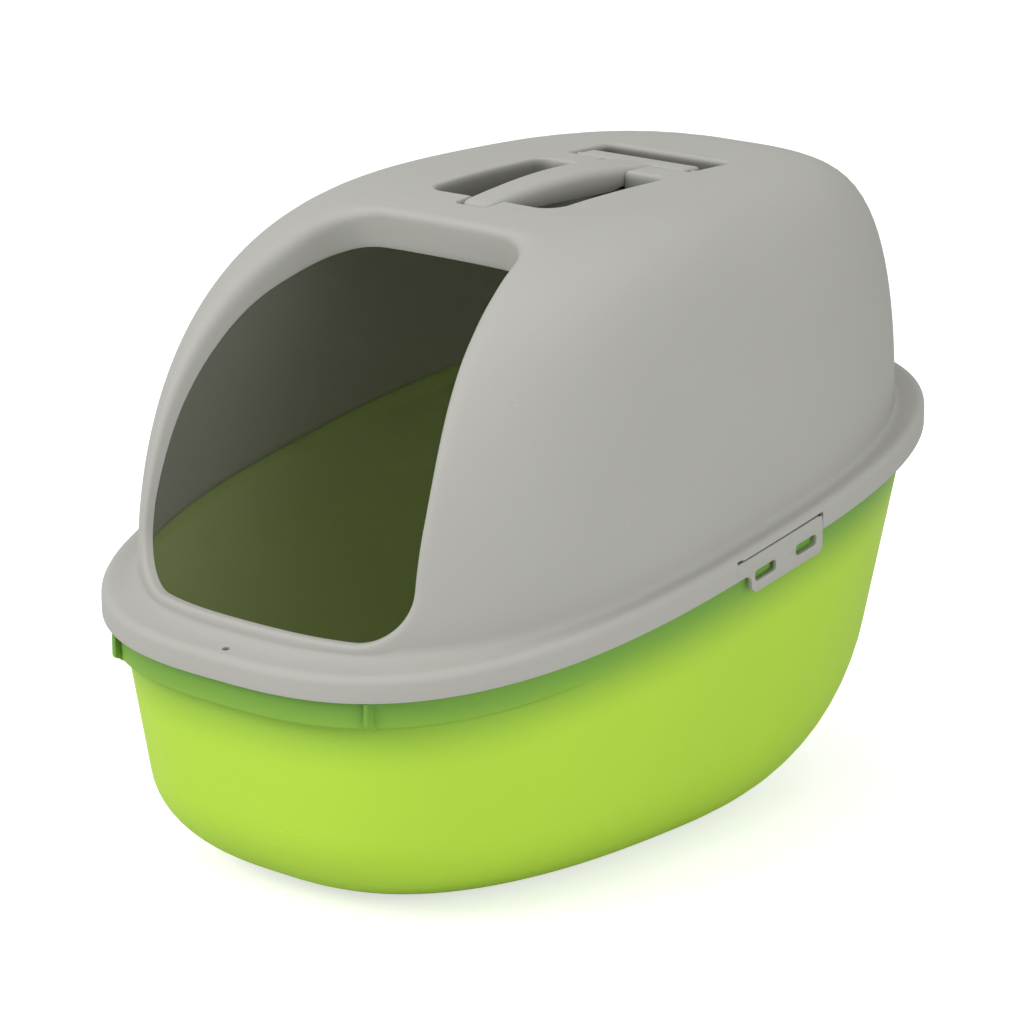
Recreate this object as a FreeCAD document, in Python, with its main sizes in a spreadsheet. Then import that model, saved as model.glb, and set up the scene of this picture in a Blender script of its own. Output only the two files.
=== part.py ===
import FreeCAD, Part
import math
import os

import Sketcher

# Covered cat litter box: a tray, a hood that caps its sloping rim, a folding carry handle
# and a flexing latch in each long side of the hood's rim.
# The entrance faces -Y, the box stands on z = 0 and is symmetric about x = 0.

doc = FreeCAD.newDocument("litter_box")
sheet = doc.addObject("Spreadsheet::Sheet", "sizes")

SIZES = (
    # Rim that both shells share: a superellipse in plan on a plane that climbs to the rear
    ("rim_length", 540),
    ("rim_width", 397),
    ("rim_height", 196),
    ("rim_rise", 102),
    ("rim_power_share", 2.79),
    # Hood
    ("hood_height", 398.5),
    ("hood_wall", 2.6),
    ("skirt_height", 15),
    ("skirt_round", 5),
    ("ledge_side", 14.4),
    ("ledge_front", 22),
    ("ledge_rear", 17),
    ("apex_setback", 150),
    ("dome_power_share", 2.69),
    ("side_bulge_share", 6.9),
    ("front_bulge_share", 4.1),
    ("rear_bulge_share", 7.2),
    ("level_share", 2.11),
    # Entrance in the hood's front, with a brow wall above it and jambs at its sides
    ("entrance_width", 224),
    ("sill_rise", 10.35),
    ("entrance_corner", 34),
    ("jamb_top_share", 0.3147),
    ("jamb_radius", 340),
    ("shoulder_top_share", 0.7612),
    ("shoulder_radius", 123),
    ("shoulder_turn_share", 0.5),
    ("brow_setback", 75),
    ("brow_corner", 16),
    ("brow_drop", 22),
    ("jamb_depth", 11),
    ("vent_diameter", 5),
    ("vent_setback", 12),
    # Finger bowl, hinge pocket and handle seats in the roof
    ("bowl_width", 96),
    ("bowl_length", 103),
    ("bowl_front", 25),
    ("bowl_depth", 36),
    ("bowl_corner", 36),
    ("bowl_round", 22),
    ("pocket_gap", 4.5),
    ("pocket_rear", 145),
    ("cheek", 6),
    ("roof_clear", 1),
    ("seat_lap", 8),
    # Carry handle: an arched bar with a crossbar that turns on two pins
    ("bar_width", 24),
    ("bar_front", 41),
    ("bar_tip", 5.5),
    ("bar_tip_drop", 4.5),
    ("bar_crown_radius", 450),
    ("bar_skirt_end", 69),
    ("bar_wall", 3),
    ("bar_round", 4),
    ("bar_tip_round", 9),
    ("hollow_depth", 7),
    ("hollow_front", 22),
    ("neck_depth", 4.5),
    ("crossbar_length", 90),
    ("crossbar_width", 16),
    ("crossbar_depth", 10),
    ("crossbar_round", 3),
    ("hinge_setback", 112),
    ("pin_diameter", 7),
    ("pin_engaged", 3.5),
    ("pin_clear", 0.35),
    # Side latches
    ("latch_length", 81),
    ("latch_front", 31),
    ("latch_drop", 13),
    ("latch_notch", 13),
    ("latch_root_gap", 0.4),
    ("latch_slit", 1.2),
    ("latch_round", 5),
    ("slot_length", 20),
    ("slot_height", 7),
    ("slot_round", 2.5),
    ("slot_rise", 10),
    ("first_slot", 26),
    ("second_slot", 65),
    # Tray
    ("tray_wall", 2.6),
    ("tray_inset_side", 6.8),
    ("tray_inset_end", 11),
    ("side_lean", 23.6),
    ("front_lean", 5.6),
    ("rear_lean", 7.2),
    ("side_round", 81),
    ("front_round", 82),
    ("rear_round", 160),
    ("tray_power_share", 2.72),
    ("band_height", 22),
    ("band_gap", 2),
    ("collar_clear", 2),
    ("seat_clear", 0.3),
    ("web_thick", 3),
    ("web_place", 104),
    ("lug_clear", 0.5),
    ("lug_height", 5),
    ("lug_length", 16),
    # Cuts run past what they cut by the first, and places nearer than the second count as one
    ("overrun", 20),
    ("same_place", 0.003),
)

OUTLINE_POINTS = 48
ARC_STEPS = 6
WALL_STEPS = 3
PARALLEL_SHARE = 0.999999
DOME_LEVEL_SHARES = (0, 0.12, 0.24, 0.36, 0.48, 0.60, 0.70, 0.80, 0.88, 0.94, 0.975)

for row, (alias, number) in enumerate(SIZES, 1):
    sheet.set(f"A{row}", alias)
    sheet.set(f"B{row}", str(number))
    sheet.setAlias(f"B{row}", alias)
doc.recompute()


def size(alias):
    """The number that the sheet holds under this name."""
    return float(getattr(sheet, alias))


SLOPE = size("rim_rise") / size("rim_length")


def ring(half_width, front, rear, power, height, shift=0):
    """Points of a closed superellipse about the Z axis, moved along Y by shift.

    height gives z at each point, from the direction's cosine squared, whether it faces the rear, and y.
    """
    points = []
    for step in range(OUTLINE_POINTS):
        turn = 2 * math.pi * step / OUTLINE_POINTS
        across = math.cos(turn)
        along = math.sin(turn)
        reach = (abs(across) ** power + abs(along) ** power) ** (-1 / power)
        x = half_width * reach * across
        y = (rear if along > 0 else front) * reach * along + shift
        points.append(FreeCAD.Vector(x, y, height(across * across, along > 0, y)))
    return points


def closed_curve(points):
    """Periodic curve through a ring of points, evenly spread in its parameter."""
    curve = Part.BSplineCurve()
    turns = [step / len(points) for step in range(len(points) + 1)]
    curve.interpolate(Points=points, PeriodicFlag=True, Parameters=turns)
    return curve


def skin(rings):
    """Face through closed rings: periodic round each ring, a smooth curve from ring to ring."""
    curves = [closed_curve(points) for points in rings]
    columns = list(zip(*[curve.getPoles() for curve in curves]))
    travel = [0]
    for lower, upper in zip(rings, rings[1:]):
        step = sum(p.distanceToPoint(q) for p, q in zip(lower, upper)) / len(lower)
        travel.append(travel[-1] + step)
    poles = []
    for column in columns:
        rise = Part.BSplineCurve()
        rise.interpolate(Points=list(column), Parameters=travel)
        poles.append(rise.getPoles())
    surface = Part.BSplineSurface()
    surface.buildFromPolesMultsKnots(
        poles,
        curves[0].getMultiplicities(),
        rise.getMultiplicities(),
        curves[0].getKnots(),
        rise.getKnots(),
        True,
        False,
        curves[0].Degree,
        rise.Degree,
    )
    return surface.toShape()


def cap(points):
    """Flat face inside a ring."""
    return Part.Face(Part.Wire([closed_curve(points).toShape()]))


def sewn(faces):
    """Solid whose faces meet along shared rings."""
    joined = Part.makeCompound(faces)
    joined.sewShape()
    solid = Part.makeSolid(joined.Shells[0])
    if solid.Volume < 0:
        solid.reverse()
    return solid


def rim_ring(inset, lift):
    """Ring that follows the rim, drawn in by inset and lifted off the skirt's lower edge."""
    half = size("rim_width") / 2 - inset
    end = size("rim_length") / 2 - inset
    level = size("rim_height") + lift
    return ring(half, end, end, size("rim_power_share"), lambda c, r, y: level + SLOPE * y)


def dome_rings(side, end, top, foot):
    """Rings of a dome whose faces lie inside the hood's outer face by these insets.

    Each level is a superellipse. Its width and ends shrink to the apex by their own powers,
    and the levels turn from the rim's slope to the horizontal as they climb. foot is the lowest
    ring's height over the skirt's lower edge.
    """
    half = size("rim_width") / 2 - size("ledge_side") - side
    reach_front = size("rim_length") / 2 - size("ledge_front") - end
    reach_rear = size("rim_length") / 2 - size("ledge_rear") - end
    apex = size("apex_setback")
    base = size("rim_height") + foot
    rise = size("hood_height") - top - base
    rings = []
    for share in DOME_LEVEL_SHARES:
        climb = math.sin(share * math.pi / 2)
        left = 1 - climb ** size("level_share")
        wide = left ** (1 / size("side_bulge_share"))
        ahead = left ** (1 / size("front_bulge_share"))
        behind = left ** (1 / size("rear_bulge_share"))
        nose = -reach_front * ahead + apex * (1 - ahead)
        tail = reach_rear * behind + apex * (1 - behind)
        middle = apex * (1 - (ahead + behind) / 2)
        level = base + rise * climb
        tilt = SLOPE * (1 - climb)

        def height(c, r, y):
            return level + tilt * y

        ends = (middle - nose, tail - middle)
        rings.append(ring(half * wide, *ends, size("dome_power_share"), height, middle))
    return rings


def dome(inset, foot):
    """Solid dome inside the hood's outer face by an even inset."""
    rings = dome_rings(inset, inset, inset, foot)
    return sewn([cap(rings[0]), skin(rings), cap(rings[-1])])


def hood_shell():
    """Hood before its openings: upright skirt, rounded edge, flat ledge and dome, one wall thick."""
    wall = size("hood_wall")
    tall = size("skirt_height")
    bend = size("skirt_round")
    outer = dome_rings(0, 0, 0, tall)
    inner = dome_rings(wall, wall, wall, tall - wall)
    skirt = [rim_ring(0, 0), rim_ring(0, (tall - bend) / 2), rim_ring(0, tall - bend)]
    edge = []
    for step in range(ARC_STEPS + 1):
        turn = math.pi / 2 * step / ARC_STEPS
        edge.append(rim_ring(bend * (1 - math.cos(turn)), tall - bend * (1 - math.sin(turn))))
    under = [rim_ring(wall, 0), rim_ring(wall, tall - wall)]
    return sewn(
        [
            skin(skirt),
            skin(edge),
            skin([edge[-1], outer[0]]),
            skin(outer),
            cap(outer[-1]),
            skin([skirt[0], under[0]]),
            skin(under),
            skin([under[1], inner[0]]),
            skin(inner),
            cap(inner[-1]),
        ]
    )


def entrance(grow):
    """Solid that the entrance takes out of the hood's front, grown by a wall thickness or by zero.

    Seen from the front it is a door shape with rounded lower corners, straight jambs, and two
    arcs on each side that draw in towards the roof. It ends at the brow with rounded corners.
    """
    half = size("entrance_width") / 2 + grow
    ledge_end = size("rim_length") / 2 - size("ledge_front")
    ledge_height = size("rim_height") + size("skirt_height") - SLOPE * ledge_end
    foot = ledge_height + size("sill_rise")
    tall = size("hood_height") - foot
    jamb_top = foot + tall * size("jamb_top_share")
    shoulder_top = foot + tall * size("shoulder_top_share")
    sill = foot - grow
    corner = size("entrance_corner") + grow
    jamb = size("jamb_radius") + grow
    shoulder = size("shoulder_radius") + grow
    jamb_turn = math.asin((shoulder_top - jamb_top) / size("jamb_radius"))
    end_turn = math.pi / 2 * size("shoulder_turn_share")
    jamb_mid = FreeCAD.Vector(half - jamb, 0, jamb_top)
    shoulder_shift = jamb - shoulder
    shoulder_mid = jamb_mid + FreeCAD.Vector(
        shoulder_shift * math.cos(jamb_turn), 0, shoulder_shift * math.sin(jamb_turn)
    )
    corner_mid = FreeCAD.Vector(half - corner, 0, sill + corner)

    def on(mid, radius, turn):
        return mid + FreeCAD.Vector(radius * math.cos(turn), 0, radius * math.sin(turn))

    def arc(mid, radius, start, end):
        return Part.Arc(
            on(mid, radius, start), on(mid, radius, (start + end) / 2), on(mid, radius, end)
        ).toShape()

    def line(start, end):
        return Part.LineSegment(start, end).toShape()

    above = size("hood_height") + size("overrun")
    top = on(shoulder_mid, shoulder, end_turn)
    crown = FreeCAD.Vector(top.x, 0, above)
    floor_end = on(corner_mid, corner, -math.pi / 2)
    right = [
        line(FreeCAD.Vector(0, 0, sill), floor_end),
        arc(corner_mid, corner, -math.pi / 2, 0),
        line(on(corner_mid, corner, 0), on(jamb_mid, jamb, 0)),
        arc(jamb_mid, jamb, 0, jamb_turn),
        arc(shoulder_mid, shoulder, jamb_turn, end_turn),
        line(top, crown),
        line(crown, FreeCAD.Vector(0, 0, above)),
    ]
    half_wire = Part.Wire(right)
    mirrored = half_wire.mirror(FreeCAD.Vector(0, 0, 0), FreeCAD.Vector(1, 0, 0))
    outer = Part.Wire(Part.__sortEdges__(half_wire.Edges + mirrored.Edges))
    start = -size("rim_length") / 2 - size("overrun")
    stop = -size("brow_setback") + grow
    face = Part.Face(outer)
    face.translate(FreeCAD.Vector(0, start, 0))
    solid = face.extrude(FreeCAD.Vector(0, stop - start, 0))
    rear_edges = [
        edge
        for edge in solid.Edges
        if edge.BoundBox.YMin > stop - size("same_place")
        and edge.BoundBox.ZMin > jamb_top
        and edge.BoundBox.ZMax < above - size("same_place")
    ]
    return solid.makeFillet(size("brow_corner") + grow, rear_edges)


def feature(name, shape):
    """Document object that holds a shape worked out from the sheet."""
    item = doc.addObject("Part::Feature", name)
    item.Shape = shape
    return item


def combine(kind, name, base, tool):
    """Part boolean of two document objects."""
    item = doc.addObject(kind, name)
    item.Base = base
    item.Tool = tool
    return item


def place(item, x=None, y=None, z=None):
    """Binds an object's position to expressions on the sheet."""
    for axis, expression in (("x", x), ("y", y), ("z", z)):
        if expression:
            item.setExpression(f"Placement.Base.{axis}", expression)
    return item


def box(name, length, width, height, x, y, z):
    """Box with its sides and its lowest corner bound to expressions."""
    item = doc.addObject("Part::Box", name)
    item.setExpression("Length", length)
    item.setExpression("Width", width)
    item.setExpression("Height", height)
    return place(item, x, y, z)


def cylinder_across(name, radius, length, x, y, z):
    """Cylinder along X with its size and its start bound to expressions."""
    item = doc.addObject("Part::Cylinder", name)
    item.setExpression("Radius", radius)
    item.setExpression("Height", length)
    item.Placement.Rotation = FreeCAD.Rotation(FreeCAD.Vector(0, 1, 0), 90)
    return place(item, x, y, z)


def new_sketch(body, role, name):
    """Empty sketch on one of a body's own origin planes."""
    sketch = body.newObject("Sketcher::SketchObject", name)
    plane = [item for item in body.Origin.OriginFeatures if item.Role == role][0]
    sketch.AttachmentSupport = [(plane, "")]
    sketch.MapMode = "FlatFace"
    return sketch


def pin_point(sketch, geometry, end, across, along, tag):
    """Holds a sketch point at two expressions, where the text 0 means on the axis."""
    for kind, axis, expression in (("DistanceX", -2, across), ("DistanceY", -1, along)):
        if expression == "0":
            sketch.addConstraint(Sketcher.Constraint("PointOnObject", geometry, end, axis))
            continue
        number = sketch.evalExpression(expression)
        index = sketch.addConstraint(Sketcher.Constraint(kind, -1, 1, geometry, end, float(number)))
        sketch.renameConstraint(index, f"{kind}_{tag}")
        sketch.setExpression(f"Constraints.{kind}_{tag}", expression)


def polygon(sketch, corners, arc_edge=None, arc_radius=None):
    """Closed outline whose corners are pairs of expressions, anticlockwise.

    Its edges are straight, but one may be an arc that bows outwards with a radius of its own.
    """
    spots = []
    for across, along in corners:
        x = float(sketch.evalExpression(across))
        y = float(sketch.evalExpression(along))
        spots.append(FreeCAD.Vector(x, y, 0))
    count = len(spots)
    for index, start in enumerate(spots):
        end = spots[(index + 1) % count]
        edge = Part.LineSegment(start, end)
        if index == arc_edge:
            chord = end - start
            radius = float(sketch.evalExpression(arc_radius))
            bow = radius - math.sqrt(radius**2 - (chord.Length / 2) ** 2)
            outwards = FreeCAD.Vector(chord.y, -chord.x, 0).normalize()
            edge = Part.Arc(start, (start + end) / 2 + outwards * bow, end)
        sketch.addGeometry(edge)
    for index in range(count):
        sketch.addConstraint(Sketcher.Constraint("Coincident", index, 2, (index + 1) % count, 1))
    for index, (across, along) in enumerate(corners):
        pin_point(sketch, index, 1, across, along, str(index))
    if arc_radius:
        radius = float(sketch.evalExpression(arc_radius))
        index = sketch.addConstraint(Sketcher.Constraint("Radius", arc_edge, radius))
        sketch.renameConstraint(index, "arc_radius")
        sketch.setExpression("Constraints.arc_radius", arc_radius)
    return sketch


def pad(body, sketch, name, length, symmetric=True):
    """Pad of a sketch by an expression, to both sides or to one."""
    item = body.newObject("PartDesign::Pad", name)
    item.Profile = sketch
    item.setExpression("Length", length)
    if symmetric:
        item.SideType = "Symmetric"
    doc.recompute()
    return item


def round_edges(body, base, name, radius, wanted):
    """Fillet on the edges of a feature that a test picks."""
    names = [f"Edge{i}" for i, edge in enumerate(base.Shape.Edges, 1) if wanted(edge)]
    item = body.newObject("PartDesign::Fillet", name)
    item.Base = (base, names)
    item.setExpression("Radius", radius)
    body.Tip = item
    doc.recompute()
    return item


def runs_along(edge, axis):
    """Whether an edge is straight and lies along X, Y or Z."""
    if not isinstance(edge.Curve, (Part.Line, Part.LineSegment)):
        return False
    direction = edge.tangentAt(edge.FirstParameter)
    return abs(getattr(direction, axis)) > PARALLEL_SHARE


def centred_rectangle(sketch, across, along):
    """Rectangle about the sketch's origin with both sides bound to expressions."""
    half_x = float(sketch.evalExpression(across)) / 2
    half_y = float(sketch.evalExpression(along)) / 2
    spots = [(-half_x, -half_y), (half_x, -half_y), (half_x, half_y), (-half_x, half_y)]
    corners = [FreeCAD.Vector(x, y, 0) for x, y in spots]
    for index in range(4):
        sketch.addGeometry(Part.LineSegment(corners[index], corners[(index + 1) % 4]))
    for index in range(4):
        sketch.addConstraint(Sketcher.Constraint("Coincident", index, 2, (index + 1) % 4, 1))
    for index, kind in enumerate(("Horizontal", "Vertical", "Horizontal", "Vertical")):
        sketch.addConstraint(Sketcher.Constraint(kind, index))
    sketch.addConstraint(Sketcher.Constraint("Symmetric", 0, 1, 2, 1, -1, 1))
    for kind, line, expression, number in (
        ("DistanceX", 0, across, 2 * half_x),
        ("DistanceY", 1, along, 2 * half_y),
    ):
        index = sketch.addConstraint(Sketcher.Constraint(kind, line, 1, line, 2, number))
        sketch.renameConstraint(index, kind)
        sketch.setExpression(f"Constraints.{kind}", expression)
    return sketch


def finger_bowl(name, grow):
    """Rounded block that the finger bowl fills, grown by an expression."""
    body = doc.addObject("PartDesign::Body", name)
    plan = new_sketch(body, "XY_Plane", f"{name}_plan")
    centred_rectangle(plan, f"sizes.bowl_width + 2 * {grow}", f"sizes.bowl_length + 2 * {grow}")
    block = pad(body, plan, f"{name}_block", f"sizes.bowl_depth + {grow} + sizes.overrun", False)
    corners = round_edges(
        body, block, f"{name}_corners", f"sizes.bowl_corner + {grow}", lambda e: runs_along(e, "z")
    )
    round_edges(
        body,
        corners,
        f"{name}_foot",
        f"sizes.bowl_round + {grow}",
        lambda e: e.BoundBox.ZMax < size("same_place"),
    )
    return place(
        body,
        None,
        "sizes.bowl_length / 2 - sizes.bowl_front",
        f"sizes.hood_height - sizes.bowl_depth - {grow}",
    )


SWEEP = "sqrt(pow(sizes.crossbar_width / 2; 2) + pow(sizes.crossbar_depth / 2; 2)) + sizes.roof_clear"
HINGE_HEIGHT = "(sizes.hood_height - sizes.crossbar_depth / 2)"
POCKET_FRONT = f"(sizes.hinge_setback - ({SWEEP}))"


def hinge_pocket(name, grow, length):
    """Block that the hinge pocket fills: flat under the crossbar, sloping up to the roof behind it."""
    body = doc.addObject("PartDesign::Body", name)
    side = new_sketch(body, "YZ_Plane", f"{name}_side")
    depth = f"sizes.crossbar_depth / 2 + {SWEEP} + {grow}"
    reach = f"sizes.pocket_rear - {POCKET_FRONT} + 2 * {grow}"
    polygon(
        side,
        (
            ("0", "0"),
            (f"2 * ({SWEEP}) + 2 * {grow}", "0"),
            (reach, depth),
            (reach, f"{depth} + sizes.overrun"),
            ("0", f"{depth} + sizes.overrun"),
        ),
    )
    pad(body, side, f"{name}_block", length)
    return place(body, None, f"{POCKET_FRONT} - {grow}", f"sizes.hood_height - ({depth})")


def handle_seats(name, grow):
    """Two shallow blocks in the roof: one under the handle's tip, one under its neck."""
    wide = f"sizes.bar_width + 2 * sizes.roof_clear + 2 * {grow}"
    left = f"-({wide}) / 2"
    tip_floor = f"sizes.hood_height - sizes.bar_tip_drop - sizes.bar_tip - sizes.seat_clear - {grow}"
    neck_floor = f"sizes.hood_height - sizes.neck_depth - sizes.seat_clear - {grow}"
    bowl_rear = "sizes.bowl_length - sizes.bowl_front"
    tip = box(
        f"{name}_tip",
        wide,
        f"sizes.bar_front - sizes.bowl_front + sizes.roof_clear + sizes.seat_lap + {grow}",
        "sizes.overrun",
        left,
        f"-sizes.bar_front - sizes.roof_clear - {grow}",
        tip_floor,
    )
    neck = box(
        f"{name}_neck",
        wide,
        f"{POCKET_FRONT} - ({bowl_rear}) + 2 * sizes.seat_lap",
        "sizes.overrun",
        left,
        f"{bowl_rear} - sizes.seat_lap",
        neck_floor,
    )
    return [tip, neck]


RISE = "sizes.rim_rise / sizes.rim_length"
PLATE_TOP = "(sizes.skirt_height - sizes.skirt_round)"


def latch_windows():
    """Block across the whole hood that opens the skirt for both latches, sheared along the rim."""
    body = doc.addObject("PartDesign::Body", "latch_windows")
    side = new_sketch(body, "YZ_Plane", "latch_windows_side")
    length = "(sizes.latch_length + sizes.latch_root_gap + sizes.latch_slit)"
    tall = f"(sizes.overrun + {PLATE_TOP} + sizes.latch_slit)"
    polygon(
        side,
        (
            ("0", "0"),
            (length, f"{length} * {RISE}"),
            (length, f"{length} * {RISE} + {tall}"),
            ("0", tall),
        ),
    )
    pad(body, side, "latch_windows_block", "sizes.rim_width + sizes.overrun")
    return place(
        body,
        None,
        "-sizes.latch_front",
        f"sizes.rim_height - sizes.latch_front * {RISE} - sizes.overrun",
    )


def entrance_collar():
    """Wall that turns in round the entrance: a tall brow under the roof, narrower jambs and sill."""
    wall = size("hood_wall")
    deep = dome_rings(size("jamb_depth"), size("jamb_depth"), size("brow_drop"), size("skirt_height"))
    core = sewn([cap(deep[0]), skin(deep), cap(deep[-1])])
    frame = entrance(wall).cut(entrance(0))
    return frame.common(dome(0, size("skirt_height"))).cut(core)


def make_hood():
    """Grey dome with its rim, entrance, finger bowl, hinge pocket, seats, vent and latch windows."""
    shell = hood_shell().cut(entrance(0)).fuse(entrance_collar())
    form = feature("hood_form", shell)
    core = feature("dome_core", dome(0, size("skirt_height")))
    half_pocket = "(sizes.crossbar_length / 2 + sizes.pocket_gap)"
    linings = doc.addObject("Part::MultiFuse", "recess_linings")
    linings.Shapes = [
        finger_bowl("bowl_lining", "sizes.hood_wall"),
        hinge_pocket("pocket_lining", "sizes.hood_wall", f"2 * ({half_pocket} + sizes.cheek)"),
    ] + handle_seats("seat_lining", "sizes.hood_wall")
    walls = combine("Part::Common", "recess_walls", linings, core)
    lined = combine("Part::Fuse", "lined_hood", form, walls)
    socket = f"({half_pocket} + sizes.pin_engaged + sizes.pin_clear)"
    vent = doc.addObject("Part::Cylinder", "vent")
    vent.setExpression("Radius", "sizes.vent_diameter / 2")
    vent.setExpression("Height", "2 * sizes.overrun")
    place(
        vent,
        None,
        "sizes.vent_setback - sizes.rim_length / 2",
        "sizes.rim_height + sizes.skirt_height - sizes.rim_rise / 2 - sizes.overrun",
    )
    cuts = doc.addObject("Part::MultiFuse", "hood_cuts")
    cuts.Shapes = [
        finger_bowl("bowl_hollow", "0"),
        hinge_pocket("pocket_hollow", "0", f"2 * {half_pocket}"),
        cylinder_across(
            "pin_sockets",
            "sizes.pin_diameter / 2 + sizes.pin_clear",
            f"2 * {socket}",
            f"-{socket}",
            "sizes.hinge_setback",
            HINGE_HEIGHT,
        ),
        vent,
        latch_windows(),
    ] + handle_seats("seat_hollow", "0")
    hood = combine("Part::Cut", "hood", lined, cuts)
    hood.Label = "hood"
    return hood


def make_handle():
    """T-shaped handle: arched bar, hollow underneath, thin neck, crossbar and two pins."""
    body = doc.addObject("PartDesign::Body", "carry_handle")
    body.Label = "carry_handle"
    side = new_sketch(body, "YZ_Plane", "bar_side")
    skirt_end = "(sizes.bar_front + sizes.bar_skirt_end)"
    length = "(sizes.bar_front + sizes.hinge_setback - sizes.crossbar_width / 2)"
    top = "(sizes.bar_tip + sizes.bar_tip_drop)"
    neck = f"({top} - sizes.neck_depth)"
    corners = (
        ("0", "0"),
        (skirt_end, "0"),
        (skirt_end, neck),
        (length, neck),
        (length, top),
        ("0", "sizes.bar_tip"),
    )
    crown = corners.index((length, top))
    polygon(side, corners, crown, "sizes.bar_crown_radius")
    bar = pad(body, side, "bar", "sizes.bar_width")

    under = new_sketch(body, "XY_Plane", "bar_under")
    hollow_length = "(sizes.bar_front + sizes.bar_skirt_end - sizes.bar_wall - sizes.hollow_front)"
    centred_rectangle(under, "sizes.bar_width - 2 * sizes.bar_wall", hollow_length)
    under.setExpression("AttachmentOffset.Base.y", f"sizes.hollow_front + {hollow_length} / 2")
    before = bar.Shape.Volume
    hollow = body.newObject("PartDesign::Pocket", "bar_hollow")
    hollow.Profile = under
    hollow.Reversed = True
    hollow.setExpression("Length", "sizes.hollow_depth")
    doc.recompute()
    if hollow.Shape.Volume >= before:
        raise RuntimeError("the bar's hollow cut nothing")

    cross = new_sketch(body, "YZ_Plane", "crossbar_side")
    rear = f"{length} + sizes.crossbar_width"
    polygon(
        cross,
        (
            (length, f"{top} - sizes.crossbar_depth"),
            (rear, f"{top} - sizes.crossbar_depth"),
            (rear, top),
            (length, top),
        ),
    )
    crossbar = pad(body, cross, "crossbar", "sizes.crossbar_length")
    soft = round_edges(
        body,
        crossbar,
        "tip_rounding",
        "sizes.bar_tip_round",
        lambda e: runs_along(e, "z") and e.BoundBox.YMax < size("bar_wall"),
    )
    soft = round_edges(
        body,
        soft,
        "bar_rounding",
        "sizes.bar_round",
        lambda e: isinstance(e.Curve, Part.Circle) and e.Curve.Radius > size("bar_front"),
    )
    middle = size("bar_front") + size("hinge_setback")
    soft = round_edges(
        body,
        soft,
        "crossbar_rounding",
        "sizes.crossbar_round",
        lambda e: runs_along(e, "x") and e.BoundBox.YMin > middle,
    )

    ends = new_sketch(body, "YZ_Plane", "pin_side")
    spot = FreeCAD.Vector(middle, size("bar_tip") + size("bar_tip_drop") - size("crossbar_depth") / 2, 0)
    ends.addGeometry(Part.Circle(spot, FreeCAD.Vector(0, 0, 1), size("pin_diameter") / 2))
    pin_point(
        ends, 0, 3, "sizes.bar_front + sizes.hinge_setback", f"{top} - sizes.crossbar_depth / 2", "pin"
    )
    index = ends.addConstraint(Sketcher.Constraint("Diameter", 0, size("pin_diameter")))
    ends.renameConstraint(index, "pin_diameter")
    ends.setExpression("Constraints.pin_diameter", "sizes.pin_diameter")
    pad(body, ends, "pins", "sizes.crossbar_length + 2 * (sizes.pocket_gap + sizes.pin_engaged)")
    return place(body, None, "-sizes.bar_front", f"sizes.hood_height - {top}")


def make_right_latch():
    """Flat tongue in the skirt's face: narrow root in front, hanging plate with two slots behind it."""
    body = doc.addObject("PartDesign::Body", "right_latch")
    body.Label = "right_latch"
    side = new_sketch(body, "YZ_Plane", "latch_side")
    notch = "sizes.latch_notch"
    end = "sizes.latch_length"
    polygon(
        side,
        (
            ("0", "sizes.latch_drop"),
            (notch, f"sizes.latch_drop + {notch} * {RISE}"),
            (notch, f"{notch} * {RISE}"),
            (end, f"{end} * {RISE}"),
            (end, f"{end} * {RISE} + sizes.latch_drop + {PLATE_TOP}"),
            ("0", f"sizes.latch_drop + {PLATE_TOP}"),
        ),
    )
    plate = pad(body, side, "latch_plate", "sizes.hood_wall", False)

    pierced = plate
    for order in ("first", "second"):
        sketch = new_sketch(body, "YZ_Plane", f"{order}_slot_side")
        start = f"(sizes.{order}_slot - sizes.slot_length / 2)"
        stop = f"(sizes.{order}_slot + sizes.slot_length / 2)"
        low = "(sizes.slot_rise - sizes.slot_height / 2)"
        high = "(sizes.slot_rise + sizes.slot_height / 2)"
        polygon(
            sketch,
            (
                (start, f"{start} * {RISE} + {low}"),
                (stop, f"{stop} * {RISE} + {low}"),
                (stop, f"{stop} * {RISE} + {high}"),
                (start, f"{start} * {RISE} + {high}"),
            ),
        )
        before = pierced.Shape.Volume
        cut = body.newObject("PartDesign::Pocket", f"{order}_slot")
        cut.Profile = sketch
        cut.Reversed = True
        cut.setExpression("Length", "sizes.hood_wall")
        doc.recompute()
        if cut.Shape.Volume >= before:
            raise RuntimeError("a latch slot cut nothing")
        pierced = cut

    def is_slot_corner(edge):
        along = edge.BoundBox.Center.y
        level = edge.BoundBox.Center.z - along * SLOPE
        beside = abs(level - size("slot_rise")) < size("slot_height")
        ends = (size("latch_notch") + size("same_place"), size("latch_length") - size("same_place"))
        return beside and ends[0] < along < ends[1]

    slot_corners = round_edges(
        body,
        pierced,
        "slot_rounding",
        "sizes.slot_round",
        lambda e: runs_along(e, "x") and is_slot_corner(e),
    )
    round_edges(
        body,
        slot_corners,
        "plate_rounding",
        "sizes.latch_round",
        lambda e: runs_along(e, "x")
        and e.BoundBox.Center.y > size("latch_root_gap")
        and not is_slot_corner(e),
    )
    along = "(sizes.latch_root_gap - sizes.latch_front)"
    return place(
        body,
        "sizes.rim_width / 2 - sizes.hood_wall",
        along,
        f"sizes.rim_height + {along} * {RISE} - sizes.latch_drop",
    )


def make_left_latch(right):
    """Mirror image of the right latch."""
    latch = doc.addObject("Part::Mirroring", "left_latch")
    latch.Label = "left_latch"
    latch.Source = right
    latch.Normal = FreeCAD.Vector(1, 0, 0)
    return latch


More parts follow.
